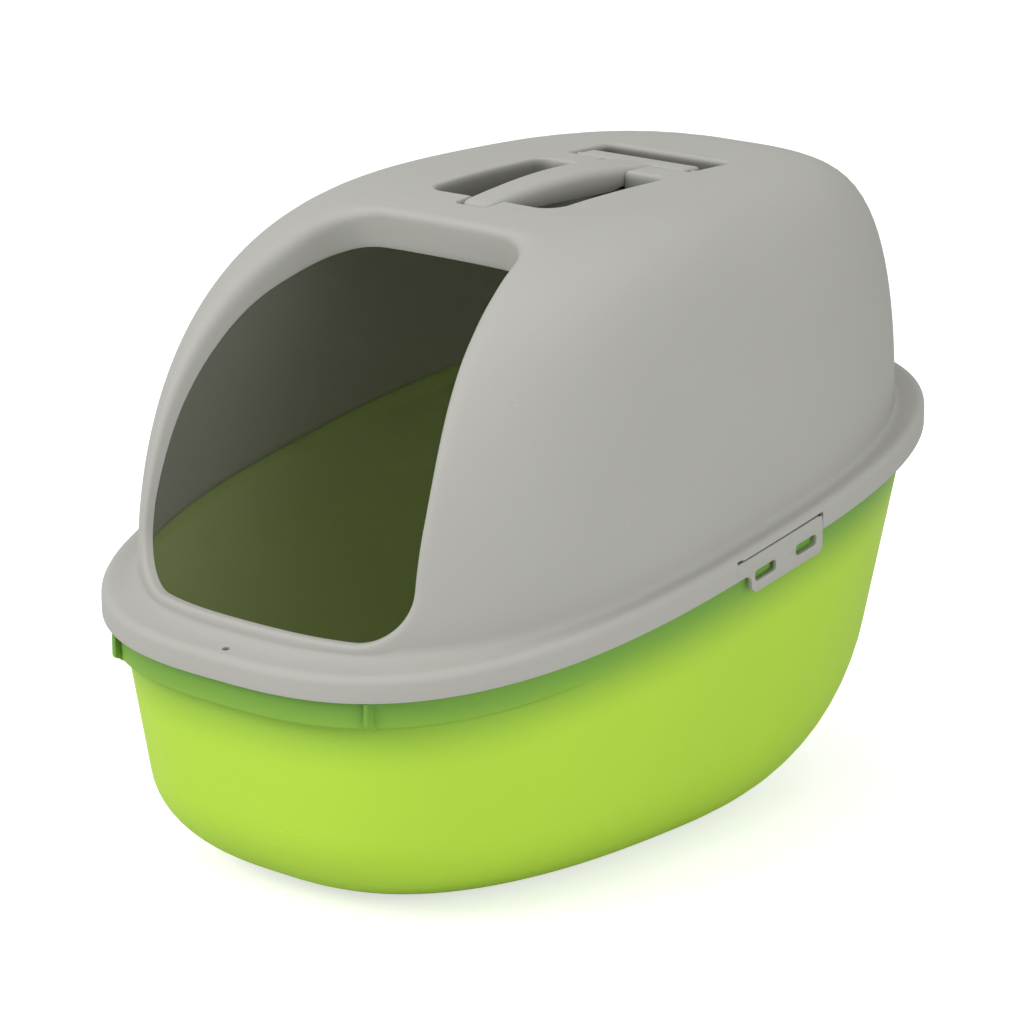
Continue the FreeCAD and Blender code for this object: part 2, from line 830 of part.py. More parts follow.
def tub_rings(inset, top):
    """Rings of the tub: rounded foot and leaning wall, then the flared band and the collar.

    The wall leaves the foot's round on its tangent. The round and the lean change from the sides
    to the ends with the direction. Inset draws the walls in and raises the floor, and top is the
    collar's height over the skirt's lower edge.
    """
    side = size("rim_width") / 2 - size("tray_inset_side")
    end = size("rim_length") / 2 - size("tray_inset_end")
    leans = [size(name) for name in ("side_lean", "front_lean", "rear_lean")]
    rounds = [size(name) for name in ("side_round", "front_round", "rear_round")]
    turns = [math.atan(lean / (size("rim_height") - r)) for lean, r in zip(leans, rounds)]
    mids = [
        brim - lean - r / math.cos(turn)
        for brim, lean, r, turn in zip((side, end, end), leans, rounds, turns)
    ]
    crease = size("rim_height") - size("band_height")
    wall = []

    def add(places, levels):
        def height(c, is_rear, y):
            level = levels[0] * c + levels[2 if is_rear else 1] * (1 - c)
            return level + SLOPE * y * (level - inset) / (crease - inset)

        wall.append(ring(*places, size("tray_power_share"), height))

    for step in range(ARC_STEPS + 1):
        swings = [math.pi / 2 + (turn - math.pi / 2) * step / ARC_STEPS for turn in turns]
        starts = [mid + (r - inset) * math.cos(s) for mid, r, s in zip(mids, rounds, swings)]
        feet = [r - (r - inset) * math.sin(s) for r, s in zip(rounds, swings)]
        add(starts, feet)
    for step in range(1, WALL_STEPS + 1):
        levels = [foot + (crease - foot) * step / WALL_STEPS for foot in feet]
        places = [
            start + (level - foot) * math.tan(turn)
            for start, level, foot, turn in zip(starts, levels, feet, turns)
        ]
        add(places, levels)
    gap = size("hood_wall") + size("collar_clear") + inset
    return wall, rim_ring(gap, -size("band_gap")), rim_ring(gap, top)


def tub_shell():
    """Tray before its webs and lugs, one wall thick and open at the top."""
    top = size("skirt_height") - size("hood_wall") - size("seat_clear")
    faces = []
    brims = []
    for inset in (0, size("tray_wall")):
        side, shoulder, brim = tub_rings(inset, top)
        faces += [cap(side[0]), skin(side), skin([side[-1], shoulder]), skin([shoulder, brim])]
        brims.append(brim)
    return sewn(faces + [skin(brims)])


def oval_reach(across, half_width, end, power):
    """How far along Y a superellipse lies from its middle at a distance across it."""
    return end * (1 - (across / half_width) ** power) ** (1 / power)


def corner_web(sign):
    """Thin upright plate under the collar at a front corner, from the crease up into the collar."""
    across = size("web_place")
    thick = size("web_thick")
    half = size("rim_width") / 2
    end = size("rim_length") / 2
    gap = size("hood_wall") + size("collar_clear")
    outer = -oval_reach(across + thick / 2, half - gap, end - gap, size("rim_power_share"))
    sink = size("tray_wall") / 2
    lean = size("side_lean") * size("band_height") / (size("rim_height") - size("side_round"))
    foot_half = half - size("tray_inset_side") - lean - sink
    foot_end = end - size("tray_inset_end") - sink
    inner = -oval_reach(across - thick / 2, foot_half, foot_end, size("tray_power_share"))
    low = size("rim_height") - size("band_height")
    high = size("rim_height") - size("band_gap")
    spots = [
        FreeCAD.Vector(0, inner, low + SLOPE * inner),
        FreeCAD.Vector(0, outer, low + SLOPE * outer),
        FreeCAD.Vector(0, outer, high + SLOPE * outer),
        FreeCAD.Vector(0, outer + sink, high + sink + SLOPE * outer),
    ]
    plate = Part.Face(Part.makePolygon(spots + spots[:1])).extrude(FreeCAD.Vector(thick, 0, 0))
    plate.translate(FreeCAD.Vector(sign * across - thick / 2, 0, 0))
    return plate


def make_tray():
    """Green tub with a web at each front corner and lugs behind the latch windows."""
    pieces = [feature("tub_form", tub_shell())]
    deep = "(sizes.collar_clear + sizes.tray_wall / 2 - sizes.lug_clear)"
    lug_face = f"(sizes.rim_width / 2 - sizes.hood_wall - sizes.lug_clear - {deep} / 2)"
    for name, sign in (("right", 1), ("left", -1)):
        pieces.append(feature(f"{name}_web", corner_web(sign)))
        for order in ("first", "second"):
            along = f"(sizes.{order}_slot + sizes.latch_root_gap - sizes.latch_front)"
            lug = box(
                f"{name}_{order}_lug",
                deep,
                "sizes.lug_length",
                "sizes.lug_height",
                f"{sign} * {lug_face} - {deep} / 2",
                f"{along} - sizes.lug_length / 2",
                f"sizes.rim_height + {along} * {RISE} - sizes.latch_drop + sizes.slot_rise"
                " - sizes.lug_height / 2",
            )
            pieces.append(lug)
    tray = doc.addObject("Part::MultiFuse", "tray")
    tray.Shapes = pieces
    tray.Label = "tray"
    return tray


def export(nodes):
    """Checks every object, then writes each sub-part to its own file."""
    doc.recompute()
    for item in doc.Objects:
        if "Invalid" in item.State or "Error" in item.State:
            raise RuntimeError(f"{item.Name} failed: {item.State}")
    for node in nodes:
        shape = node.Shape
        if shape.isNull() or not shape.isValid() or len(shape.Solids) != 1:
            raise RuntimeError(f"{node.Label} is not one sound solid")
    os.makedirs("parts", exist_ok=True)
    for node in nodes:
        node.Shape.exportStep(f"parts/{node.Label}.step")
        print(node.Label, round(node.Shape.Volume), node.Shape.optimalBoundingBox())


right_latch = make_right_latch()
left_latch = make_left_latch(right_latch)
carry_handle = make_handle()
export([make_tray(), make_hood(), carry_handle, left_latch, right_latch])
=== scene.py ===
import bmesh
import bpy
import numpy as np
from mathutils import Matrix, Vector


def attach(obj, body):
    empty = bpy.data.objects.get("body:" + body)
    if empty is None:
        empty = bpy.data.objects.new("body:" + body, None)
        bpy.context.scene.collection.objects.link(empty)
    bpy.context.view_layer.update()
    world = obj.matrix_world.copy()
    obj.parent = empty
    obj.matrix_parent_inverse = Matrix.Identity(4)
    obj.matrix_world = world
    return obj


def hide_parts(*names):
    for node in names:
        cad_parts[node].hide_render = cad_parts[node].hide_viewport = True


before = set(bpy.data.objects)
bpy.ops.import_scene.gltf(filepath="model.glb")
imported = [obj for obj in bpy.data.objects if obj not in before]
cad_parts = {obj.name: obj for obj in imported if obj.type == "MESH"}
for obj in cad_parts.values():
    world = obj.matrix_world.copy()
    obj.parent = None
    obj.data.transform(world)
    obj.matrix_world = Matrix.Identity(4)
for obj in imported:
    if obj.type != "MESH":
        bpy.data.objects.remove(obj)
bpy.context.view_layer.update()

# Covered cat litter box: sizes in millimetres, entrance towards -Y, floor at z = 0.
MM = 0.001

# Rim shared by the tray and the hood: an oval on a plane that climbs to the rear
RIM_HALF = 198.5
RIM_END = 270
RIM_HEIGHT = 196
RIM_POWER = 2.79
SLOPE = 102 / 540
SKIRT_HEIGHT = 15
SKIRT_ROUND = 5

# Dome of the hood
WALL = 2.6
ROOF = 398.5
ROOF_FALL = 0.46
LEDGE_SIDE = 14.4
LEDGE_FRONT = 22
LEDGE_REAR = 17
APEX = 150
DOME_POWER = 2.69
SIDE_BULGE = 6.9
FRONT_BULGE = 4.1
REAR_BULGE = 7.2
LEVEL_POWER = 2.11
DOME_HALF = RIM_HALF - LEDGE_SIDE
DOME_FRONT = RIM_END - LEDGE_FRONT
DOME_REAR = RIM_END - LEDGE_REAR
DOME_BASE = RIM_HEIGHT + SKIRT_HEIGHT
DOME_RISE = ROOF - DOME_BASE
FOOT_FILLET = 5.5
FRONT_FILLET = 12

# Entrance
DOOR_HALF = 112
SILL = 174.5
DOOR_CORNER = 34
JAMB_TOP = 245
JAMB_RADIUS = 340
SHOULDER_TOP = 345
SHOULDER_RADIUS = 123
BROW = -75
BROW_CORNER = 26
# Travel along the entrance's edge from the sill's middle, and at each place the roll's reach outwards
# and inwards and the depth of the turned-in wall
ROLL_AT = np.array([0, 150, 210, 256, 293, 330, 372, 400, 460])
ROLL_OUT = np.array([5, 4.5, 7, 10, 13, 13, 10, 6, 6])
ROLL_IN = np.array([3.5, 3.5, 6, 9, 11, 12, 9, 6, 6])
RETURN_DEPTH = np.array([6.5, 7, 11, 15, 18, 22, 25, 25, 25])
WIDE_ROLL = 10
VENT_PLACE = -260.5
VENT_RADIUS = 2.5
VENT_FIELD = 3.6

# Finger bowl, hinge pocket and handle seats in the roof
PANEL_HALF = 66
PANEL_FRONT = -54
PANEL_REAR = 160
BOWL_HALF = 51.5
BOWL_FRONT = -29.5
BOWL_REAR = 77.5
BOWL_FRONT_CORNER = 14
BOWL_REAR_CORNER = 10
POCKET_HALF = 49.5
POCKET_FRONT = 101.6
POCKET_REAR = 143
POCKET_CORNER = 7
POCKET_RUN_ON = 60
SEAT_GAP = 1
SEAT_OVERLAP = 8
TIP_SEAT_FRONT = -47
TIP_SEAT_REAR = BOWL_FRONT + 10
TIP_SEAT_CORNER = 5
TIP_SEAT_FLOOR = 388.2
NECK_FLOOR = 393.7
# Walls of these recesses: depth, rounded lip, draft and rounded foot
BOWL_WALL = (36, 2.5, 1.5, 12)
POCKET_COVE = (15.4, 2.5, 1, 5)
POCKET_STEP = (15.4, 1.5, 0.8, 0.6)
SEAT_WALL = (30, 1.0, 0.5, 0.3)
# Field of the recesses that gets painted shade: its half width, and where the roof starts to fall to
# the front
PAINTED_SHADE_HALF = 58
ROOF_LEVEL_END = 60

# Carry handle
BAR_HALF = 12
BAR_FLARE = 6.5
FLARE_FRONT = -35
FLARE_REAR = 105
BAR_FRONT = -43.5
BAR_REAR = 106
BAR_TIP_TOP = 394
BAR_REAR_TOP = 398.5
BAR_BOW = 5.85
BAR_BOW_END = 104
BAR_BOTTOM = 388.5
BAR_BELLY = 2.1
BELLY_FRONT = -18
BELLY_REAR = 76
SKIRT_END = 83.5
SLOT_END = 85
SLOT_FLOOR = 386.5
NECK_BOTTOM = 394
HOLLOW_FRONT = -19
HOLLOW_REAR = 80
HOLLOW_DEPTH = 7
BAR_SIDE = 3
BAR_EASE = 6.5
BAR_CROWN = 0.9
BAR_TIP_DROOP = 2.2
HINGE = 112
CROSS_HALF = 44
CROSS_WIDTH = 16
CROSS_DEPTH = 10
CROSS_ROUND = 2.5
PIN_RADIUS = 3.5
PIN_END = 53

# Latch windows in the hood's skirt
WINDOW_FRONT = -31
WINDOW_REAR = 51.6
WINDOW_TOP = 11.2
LATCH_ROOT = -30.6
LATCH_REAR = 50.4
LATCH_TOP = 10
LATCH_ROUND = 5
LATCH_CORNER_POWER = 5
LATCH_SOFTNESS = 0.45

# Tray
TRAY_SIDE = RIM_HALF - 6.8
TRAY_END = RIM_END - 11
# Lean of the wall and radius of the foot at the sides, the front and the rear
LEANS = np.array([23.6, 5.6, 7.2])
ROUNDS = np.array([81.0, 82.0, 160.0])
TRAY_POWER = 2.72
BAND_HEIGHT = 22
BAND_GAP = 2
BAND_STEP = 0.88
BAND_STEP_HEIGHT = 0.17
COLLAR_INSET = WALL + 2
COLLAR_TOP = SKIRT_HEIGHT - WALL - 0.3
WEB_PLACE = 104
WEB_INSET = 0.6
WEB_TOP = -0.6
WEB_CORNER = 4
LUG_PLACES = (-4.6, 34.4)
LUG_DROP = 3
LUG_HALF_LENGTH = 8
LUG_HALF_HEIGHT = 2.5

# Camera fitted to the photo's outlines: turn and rise in degrees, place in metres, focal length in
# pixels of the photo's width
CAMERA_TURN = 41.541
CAMERA_RISE = 15.388
CAMERA_PLACE = (1.7779, -2.0150, 0.9305)
CAMERA_FOCAL = 4462.86
PHOTO_WIDTH = 1024
SENSOR_WIDTH = 36

# Points nearer than this are one, in metres
MERGE = 0.00002


def spread(*parts):
    """Rising values: each part is a start, an end and a count of steps, and shared ends appear once."""
    pieces = [np.linspace(a, b, n + 1)[:-1] for a, b, n in parts]
    return np.concatenate(pieces + [[parts[-1][1]]])


def oval(turn, power):
    """Radius of a unit superellipse in a direction: the power mean of its cosine and sine, inverted."""
    return (np.abs(np.cos(turn)) ** power + np.abs(np.sin(turn)) ** power) ** (-1 / power)


def soft_step(value):
    """Value held between 0 and 1 and eased at both ends."""
    held = np.clip(value, 0, 1)
    return held * held * (3 - 2 * held)


def lengths(points):
    """Distance travelled along a row of points."""
    steps = np.linalg.norm(np.diff(points, axis=0), axis=1)
    return np.concatenate([[0], np.cumsum(steps)])


def dome_level(climb):
    """Half width, middle, front reach and rear reach of the dome's oval at a climb from 0 to 1."""
    left = np.clip(1 - climb**LEVEL_POWER, 1e-15, 1)
    ahead = left ** (1 / FRONT_BULGE)
    behind = left ** (1 / REAR_BULGE)
    middle = APEX * (1 - (ahead + behind) / 2)
    front = middle + DOME_FRONT * ahead - APEX * (1 - ahead)
    rear = DOME_REAR * behind + APEX * (1 - behind) - middle
    return DOME_HALF * left ** (1 / SIDE_BULGE), middle, front, rear


def dome(climb, turn):
    """Dome point: an oval that shrinks to the apex, on a level that tilts with the rim low down."""
    half, middle, front, rear = dome_level(climb)
    reach = oval(turn, DOME_POWER)
    x = half * reach * np.cos(turn)
    y = np.where(np.sin(turn) > 0, rear, front) * reach * np.sin(turn) + middle
    z = DOME_BASE + DOME_RISE * climb + SLOPE * (1 - climb) * y
    return np.stack([x, y, z], -1)


def dome_at_plan(x, y):
    """Climb and turn of the dome over a plan point, by halving the interval of levels."""
    low = np.zeros(np.broadcast(x, y).shape)
    high = np.ones_like(low)
    for _ in range(52):
        climb = (low + high) / 2
        half, middle, front, rear = dome_level(climb)
        along = (y - middle) / np.where(y > middle, rear, front)
        outside = np.abs(x / half) ** DOME_POWER + np.abs(along) ** DOME_POWER > 1
        high = np.where(outside, climb, high)
        low = np.where(outside, low, climb)
    half, middle, front, rear = dome_level(low)
    return low, np.arctan2((y - middle) / np.where(y > middle, rear, front), x / half)


def dome_at_front(x, z):
    """Climb and turn of the dome's front at a place and height seen from the front, by halving."""
    low = np.zeros(np.broadcast(x, z).shape)
    high = np.ones_like(low)
    for _ in range(52):
        climb = (low + high) / 2
        half, middle, front, _ = dome_level(climb)
        across = np.clip(np.abs(x) / half, 0, 1)
        along = -((1 - across**DOME_POWER) ** (1 / DOME_POWER))
        level = DOME_BASE + DOME_RISE * climb + SLOPE * (1 - climb) * (middle + front * along)
        above = level > z
        high = np.where(above, climb, high)
        low = np.where(above, low, climb)
    half = dome_level(low)[0]
    across = np.clip(np.abs(x) / half, 0, 1)
    along = -((1 - across**DOME_POWER) ** (1 / DOME_POWER))
    return low, np.arctan2(along, across)


def meridian_table():
    """Climb against the length of the dome's side line from the apex, as a share of the whole line."""
    step = np.linspace(0, 1, 4001)
    climb = np.sin((1 - step**6) * np.pi / 2)
    line = np.stack([dome_level(climb)[0], DOME_RISE * climb], -1)
    travel = lengths(line)
    return climb, travel / travel[-1]


MERIDIAN_CLIMB, MERIDIAN_SHARE = meridian_table()


def to_disc(climb, turn):
    """Dome place as a disc point: the share of the side line from the apex, in the turn's direction."""
    radius = np.interp(-climb, -MERIDIAN_CLIMB, MERIDIAN_SHARE)
    return np.stack([radius * np.cos(turn), radius * np.sin(turn)], -1)


def from_disc(flat):
    """Dome point of a flat disc point."""
    radius = np.hypot(flat[..., 0], flat[..., 1])
    climb = np.interp(radius, MERIDIAN_SHARE, MERIDIAN_CLIMB)
    return dome(climb, np.arctan2(flat[..., 1], flat[..., 0]))


def rim(turn, inset, lift):
    """Rim point: the rim's oval drawn in by inset, on its sloping plane raised by lift."""
    reach = oval(turn, RIM_POWER)
    x = (RIM_HALF - inset) * reach * np.cos(turn)
    y = (RIM_END - inset) * reach * np.sin(turn)
    return np.stack([x, y, RIM_HEIGHT + lift + SLOPE * y], -1)


def door_half(grow):
    """Right half of the entrance's edge as disc points, from the sill's middle to the brow's middle.

    Seen from the front it is a flat sill, a corner arc, an upright jamb and two arcs that draw in.
    Seen from above it ends in a rounded corner and the straight brow. Every part has a fixed count
    of points, so edges with different growth match point by point.
    """
    half, sill, corner = DOOR_HALF + grow, SILL - grow, DOOR_CORNER + grow
    jamb, shoulder = JAMB_RADIUS + grow, SHOULDER_RADIUS + grow
    bend = np.arcsin((SHOULDER_TOP - JAMB_TOP) / JAMB_RADIUS)
    mid_x = half - jamb + (jamb - shoulder) * np.cos(bend)
    mid_z = JAMB_TOP + (jamb - shoulder) * np.sin(bend)
    stop_y = BROW + grow - BROW_CORNER

    def shoulder_at(angle):
        return mid_x + shoulder * np.cos(angle), mid_z + shoulder * np.sin(angle)

    trial = np.linspace(bend, np.pi / 4, 200)
    trial_y = dome(*dome_at_front(*shoulder_at(trial)))[:, 1]
    last = np.interp(stop_y, trial_y, trial)
    turn = np.linspace(-np.pi / 2, 0, 41)
    sweep = np.linspace(0, bend, 61)
    climb_out = np.linspace(bend, last, 41)
    x = np.concatenate(
        [
            np.linspace(0, half - corner, 41),
            half - corner + corner * np.cos(turn[1:]),
            np.full(20, half),
            half - jamb + jamb * np.cos(sweep[1:]),
            shoulder_at(climb_out)[0][1:],
        ]
    )
    z = np.concatenate(
        [
            np.full(41, sill),
            sill + corner + corner * np.sin(turn[1:]),
            np.linspace(sill + corner, JAMB_TOP, 21)[1:],
            JAMB_TOP + jamb * np.sin(sweep[1:]),
            shoulder_at(climb_out)[1][1:],
        ]
    )
    lower = np.stack(dome_at_front(x, z), -1)
    ends = dome(lower[-2:, 0], lower[-2:, 1])
    heading = (ends[1] - ends[0])[:2]
    heading /= np.linalg.norm(heading)
    start = ends[1][:2]
    peak = start + heading * BROW_CORNER / heading[1]
    finish = peak - np.array([BROW_CORNER, 0])
    share = np.linspace(0, 1, 31)[1:, None]
    bow = (1 - share) ** 2 * start + 2 * share * (1 - share) * peak + share**2 * finish
    straight = np.stack([np.linspace(finish[0], 0, 41)[1:], np.full(40, finish[1])], -1)
    plan = np.concatenate([bow, straight])
    upper = np.stack(dome_at_plan(plan[:, 0], plan[:, 1]), -1)
    both = np.concatenate([lower, upper])
    return to_disc(both[:, 0], both[:, 1])


# Points before the middle of the brow's corner: sill, corner, jamb, two arcs, half the brow's corner
CORNER_MIDDLE = 41 + 40 + 20 + 60 + 40 + 15


def wall_drop(inside, depth, lip, draft, foot):
    """Depth of a recess at a distance inside its edge: round lip, drafted wall, round foot, floor."""
    turn = np.linspace(0, np.pi / 2, 16)
    away = np.concatenate([-lip + lip * np.sin(turn), draft + foot - foot * np.cos(turn)])
    down = np.concatenate([lip - lip * np.cos(turn), depth - foot + foot * np.sin(turn)])
    return np.interp(inside, away, down)


def inside_box(x, y, half, front, rear, corner):
    """Distance inside a rounded rectangle's edge, negative outside."""
    across = np.abs(x) - (half - corner)
    along = np.abs(y - (front + rear) / 2) - ((rear - front) / 2 - corner)
    beyond = np.hypot(np.maximum(across, 0), np.maximum(along, 0))
    return corner - beyond - np.minimum(np.maximum(across, along), 0)


def flare(along):
    """Extra half width of the handle's bar, growing evenly from near its tip to the crossbar."""
    return BAR_FLARE * np.clip((along - FLARE_FRONT) / (FLARE_REAR - FLARE_FRONT), 0, 1)


def roof_height(x, y):
    """Roof with its recesses: the dome's height less the deepest of bowl, pocket and handle seats.

    The pocket's plan box runs on to the front, where a straight step cuts it off.
    """
    roof = dome(*dome_at_plan(x, y))[..., 2]
    corner = np.where(y < (BOWL_FRONT + BOWL_REAR) / 2, BOWL_FRONT_CORNER, BOWL_REAR_CORNER)
    bowl_in = inside_box(x, y, BOWL_HALF, BOWL_FRONT, BOWL_REAR, corner)
    bowl = wall_drop(bowl_in, *BOWL_WALL)
    cove_in = inside_box(x, y, POCKET_HALF, POCKET_FRONT - POCKET_RUN_ON, POCKET_REAR, POCKET_CORNER)
    step = wall_drop(y - POCKET_FRONT, *POCKET_STEP)
    pocket = np.minimum(wall_drop(cove_in, *POCKET_COVE), step)
    seat = BAR_HALF + SEAT_GAP + flare(y)
    tip_in = inside_box(x, y, seat, TIP_SEAT_FRONT, TIP_SEAT_REAR, TIP_SEAT_CORNER)
    tip_floor = np.maximum(roof - TIP_SEAT_FLOOR, 0)
    tip = np.minimum(wall_drop(tip_in, *SEAT_WALL), tip_floor)
    neck_ends = np.minimum(y - BOWL_REAR + SEAT_OVERLAP, POCKET_FRONT + SEAT_OVERLAP - y)
    neck_in = np.minimum(seat - np.abs(x), neck_ends)
    neck_floor = np.maximum(roof - np.where(y < SLOT_END, SLOT_FLOOR, NECK_FLOOR), 0)
    neck = np.minimum(wall_drop(neck_in, *SEAT_WALL), neck_floor)
    return roof - np.maximum.reduce([bowl, pocket, tip, neck])


def cells(rows, columns):
    """Four corners of every cell of a grid of points, row by row."""
    corner = np.arange(rows * columns).reshape(rows, columns)
    return np.stack([corner[:-1, :-1], corner[:-1, 1:], corner[1:, 1:], corner[1:, :-1]], -1)


def patch(points, keep=None):
    """Points of a grid and its cells, without those that a mask drops."""
    quads = cells(*points.shape[:2])
    quads = quads.reshape(-1, 4) if keep is None else quads[keep]
    return points.reshape(-1, 3), quads


def ring_patch(points):
    """Grid whose rows are closed rings."""
    return patch(np.concatenate([points, points[:, :1]], axis=1))


def mirrored(patches):
    """Patches of the right half and their mirror images."""
    return patches + [(points * [-1, 1, 1], quads[:, ::-1]) for points, quads in patches]


def piece(name, patches, body, material, facing=None):
    """Object from patches: joined, merged where they meet, smooth, riding on a body.

    facing is a place and a direction: the nearest face has to look that way, so an open skin is
    turned the right way out.
    """
    starts = np.cumsum([0] + [len(points) for points, _ in patches])
    points = np.concatenate([points for points, _ in patches]) * MM
    quads = np.concatenate([quads + start for (_, quads), start in zip(patches, starts)])
    mesh = bpy.data.meshes.new(name)
    mesh.from_pydata(points.tolist(), [], quads.tolist())
    solid = bmesh.new()
    solid.from_mesh(mesh)
    bmesh.ops.remove_doubles(solid, verts=solid.verts, dist=MERGE)
    bmesh.ops.dissolve_degenerate(solid, edges=solid.edges, dist=MERGE / 4)
    bmesh.ops.recalc_face_normals(solid, faces=solid.faces)
    if facing is not None:
        spot = Vector(facing[0]) * MM
        nearest = min(solid.faces, key=lambda face: (face.calc_center_median() - spot).length)
        if nearest.normal.dot(Vector(facing[1])) < 0:
            bmesh.ops.reverse_faces(solid, faces=solid.faces)
    solid.to_mesh(mesh)
    solid.free()
    mesh.shade_smooth()
    mesh.set_sharp_from_angle(angle=np.radians(50))
    item = bpy.data.objects.new(name, mesh)
    bpy.context.scene.collection.objects.link(item)
    mesh.materials.append(material)
    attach(item, body)
    return item


def thicken(item, wall, edge, whole=None, inner=None):
    """Gives a skin its wall thickness inwards and softens the wall's cut edges, apart from whole ones.

    inner is a material for the inner side.
    """
    shell = item.modifiers.new("wall", "SOLIDIFY")
    shell.thickness = wall * MM
    shell.offset = -1
    shell.use_quality_normals = True
    if inner is not None:
        item.data.materials.append(inner)
        shell.material_offset = 1
    seen = item.evaluated_get(bpy.context.evaluated_depsgraph_get())
    mesh = bpy.data.meshes.new_from_object(seen)
    item.modifiers.clear()
    solid = bmesh.new()
    solid.from_mesh(mesh)
    sharp = [e for e in solid.edges if e.is_manifold and e.calc_face_angle() > np.radians(60)]
    if whole is not None:
        sharp = [e for e in sharp if not whole((e.verts[0].co + e.verts[1].co) / 2 / MM)]
    bmesh.ops.bevel(
        solid, geom=sharp, offset=edge * MM, segments=2, profile=0.5, affect="EDGES", clamp_overlap=True
    )
    solid.to_mesh(mesh)
    solid.free()
    mesh.shade_smooth()
    mesh.set_sharp_from_angle(angle=np.radians(50))
    mesh.name = item.name
    item.data = mesh


def bezier(start, peak, finish, steps):
    """Rows of a rounded corner between two rows of points, bent towards the corner's own row."""
    share = np.linspace(0, 1, steps + 1)[:, None, None]
    return (1 - share) ** 2 * start + 2 * share * (1 - share) * peak + share**2 * finish


# Lines of the roof panel's grid, across from the middle and along from the front. The dense lines from
# SEAT_NEAR to SEAT_FAR follow the edges of the handle's seats.
SEAT_NEAR = 11
SEAT_FAR = 15
GRID_STRAIGHT = 36
PANEL_ACROSS = spread(
    (0, SEAT_NEAR, 6),
    (SEAT_NEAR, SEAT_FAR, 6),
    (SEAT_FAR, GRID_STRAIGHT, 10),
    (GRID_STRAIGHT, 47, 8),
    (47, 55, 14),
    (55, PANEL_HALF, 4),
)
PANEL_ALONG = spread(
    (PANEL_FRONT, -49, 2),
    (-49, -44, 8),
    (-44, -33, 6),
    (-33, -26, 10),
    (-26, -12, 8),
    (-12, 60, 26),
    (60, 70, 7),
    (70, 81, 16),
    (81, SLOT_END - 0.2, 4),
    (SLOT_END - 0.2, SLOT_END + 0.2, 2),
    (SLOT_END + 0.2, 100, 6),
    (100, 106, 9),
    (106, 122, 7),
    (122, 139, 9),
    (139, 147, 10),
    (147, PANEL_REAR, 5),
)


def roof_panel():
    """Roof panel: a plan grid at the roof's height.

    Its dense lines spread with the flare of the handle's bar, and outside them the grid evens out to
    straight lines.
    """
    flat_x, plan_y = np.meshgrid(PANEL_ACROSS, PANEL_ALONG)
    wider = flare(plan_y)
    inside = flat_x * (SEAT_NEAR + wider) / SEAT_NEAR
    room = GRID_STRAIGHT - SEAT_FAR
    outside = GRID_STRAIGHT - (GRID_STRAIGHT - flat_x) * (room - wider) / room
    zones = [flat_x < SEAT_NEAR, flat_x < SEAT_FAR + 0.01, flat_x < GRID_STRAIGHT]
    plan_x = np.select(zones, [inside, flat_x + wider, outside], flat_x)
    return np.stack([plan_x, plan_y, roof_height(plan_x, plan_y)], -1)


def on_middle(rows):
    """Rows of the right half with both ends put on the middle plane."""
    rows[..., [0, -1], 0] = 0
    return rows


def entrance_edges():
    """Entrance's sharp edge and the edge where its roll starts, as disc points, and the lower count.

    The lower points run from the sill's middle to the brow's corner. The upper ones go on from there in
    step with the roof panel's lines.
    """
    sharp = door_half(0)
    travel = lengths(from_disc(sharp))
    roll_out = np.interp(travel, ROLL_AT, ROLL_OUT)[:, None]
    eased = sharp + (door_half(WIDE_ROLL) - sharp) * roll_out / WIDE_ROLL
    corner = travel[CORNER_MIDDLE]
    lower_at = spread((0, 78, 14), (78, 131, 16), (131, corner, 50))
    upper_at = travel[-1] - (travel[-1] - corner) * PANEL_ACROSS[::-1] / PANEL_HALF
    order = np.arange(len(sharp))
    chosen = np.interp(np.concatenate([lower_at, upper_at[1:]]), travel, order)

    def at(edge):
        return np.stack([np.interp(chosen, order, edge[:, k]) for k in (0, 1)], -1)

    return at(sharp), at(eased), len(lower_at)


def entrance_lip(sharp_flat, eased_edge):
    """Lip rows: a rounded edge that turns in along the entrance and runs back as jamb, sill and brow.

    They head inwards along the dome's normal, squared to the edge's own direction.
    """
    sharp_edge = on_middle(from_disc(sharp_flat))
    step = 1e-4
    over = from_disc(sharp_flat + [step, 0]) - from_disc(sharp_flat - [step, 0])
    along = from_disc(sharp_flat + [0, step]) - from_disc(sharp_flat - [0, step])
    inward = -np.cross(over, along)
    beyond = sharp_edge[[1, -2]] * [-1, 1, 1]
    padded = np.concatenate([beyond[:1], sharp_edge, beyond[1:]])
    tangent = padded[2:] - padded[:-2]
    tangent /= np.linalg.norm(tangent, axis=1)[:, None]
    inward -= (inward * tangent).sum(1)[:, None] * tangent
    inward /= np.linalg.norm(inward, axis=1)[:, None]
    place = lengths(sharp_edge)
    roll_in = np.interp(place, ROLL_AT, ROLL_IN)[:, None]
    depth = np.interp(place, ROLL_AT, RETURN_DEPTH)[:, None]
    turned = bezier(eased_edge, sharp_edge, sharp_edge + inward * roll_in, 9)
    share = np.linspace(0, 1, 6)[1:, None, None]
    wall = sharp_edge + inward * (roll_in + (depth - roll_in) * share)
    return on_middle(np.concatenate([turned, wall]))


def foot_turns(inner_points):
    """Turns at the dome's foot in step with the inner edge's travel, and the two at the latch window.

    They are shifted a little, so that a line meets each end of the window.
    """
    reach = lengths(inner_points) / lengths(inner_points)[-1]
    foot_turn = np.linspace(-np.pi / 2, np.pi / 2, 2001)
    foot_travel = lengths(dome(np.zeros_like(foot_turn), foot_turn))
    turn = np.interp(reach * foot_travel[-1], foot_travel, foot_turn)
    rim_line = rim(foot_turn, 0, 0)[:, 1]
    ends = np.interp([WINDOW_FRONT, WINDOW_REAR], rim_line, foot_turn)
    window = [int(np.abs(turn - end).argmin()) for end in ends]
    anchors = [0] + window + [len(turn) - 1]
    shift = np.interp(np.arange(len(turn)), anchors, [0, *(ends - turn[window]), 0])
    return turn + shift, window


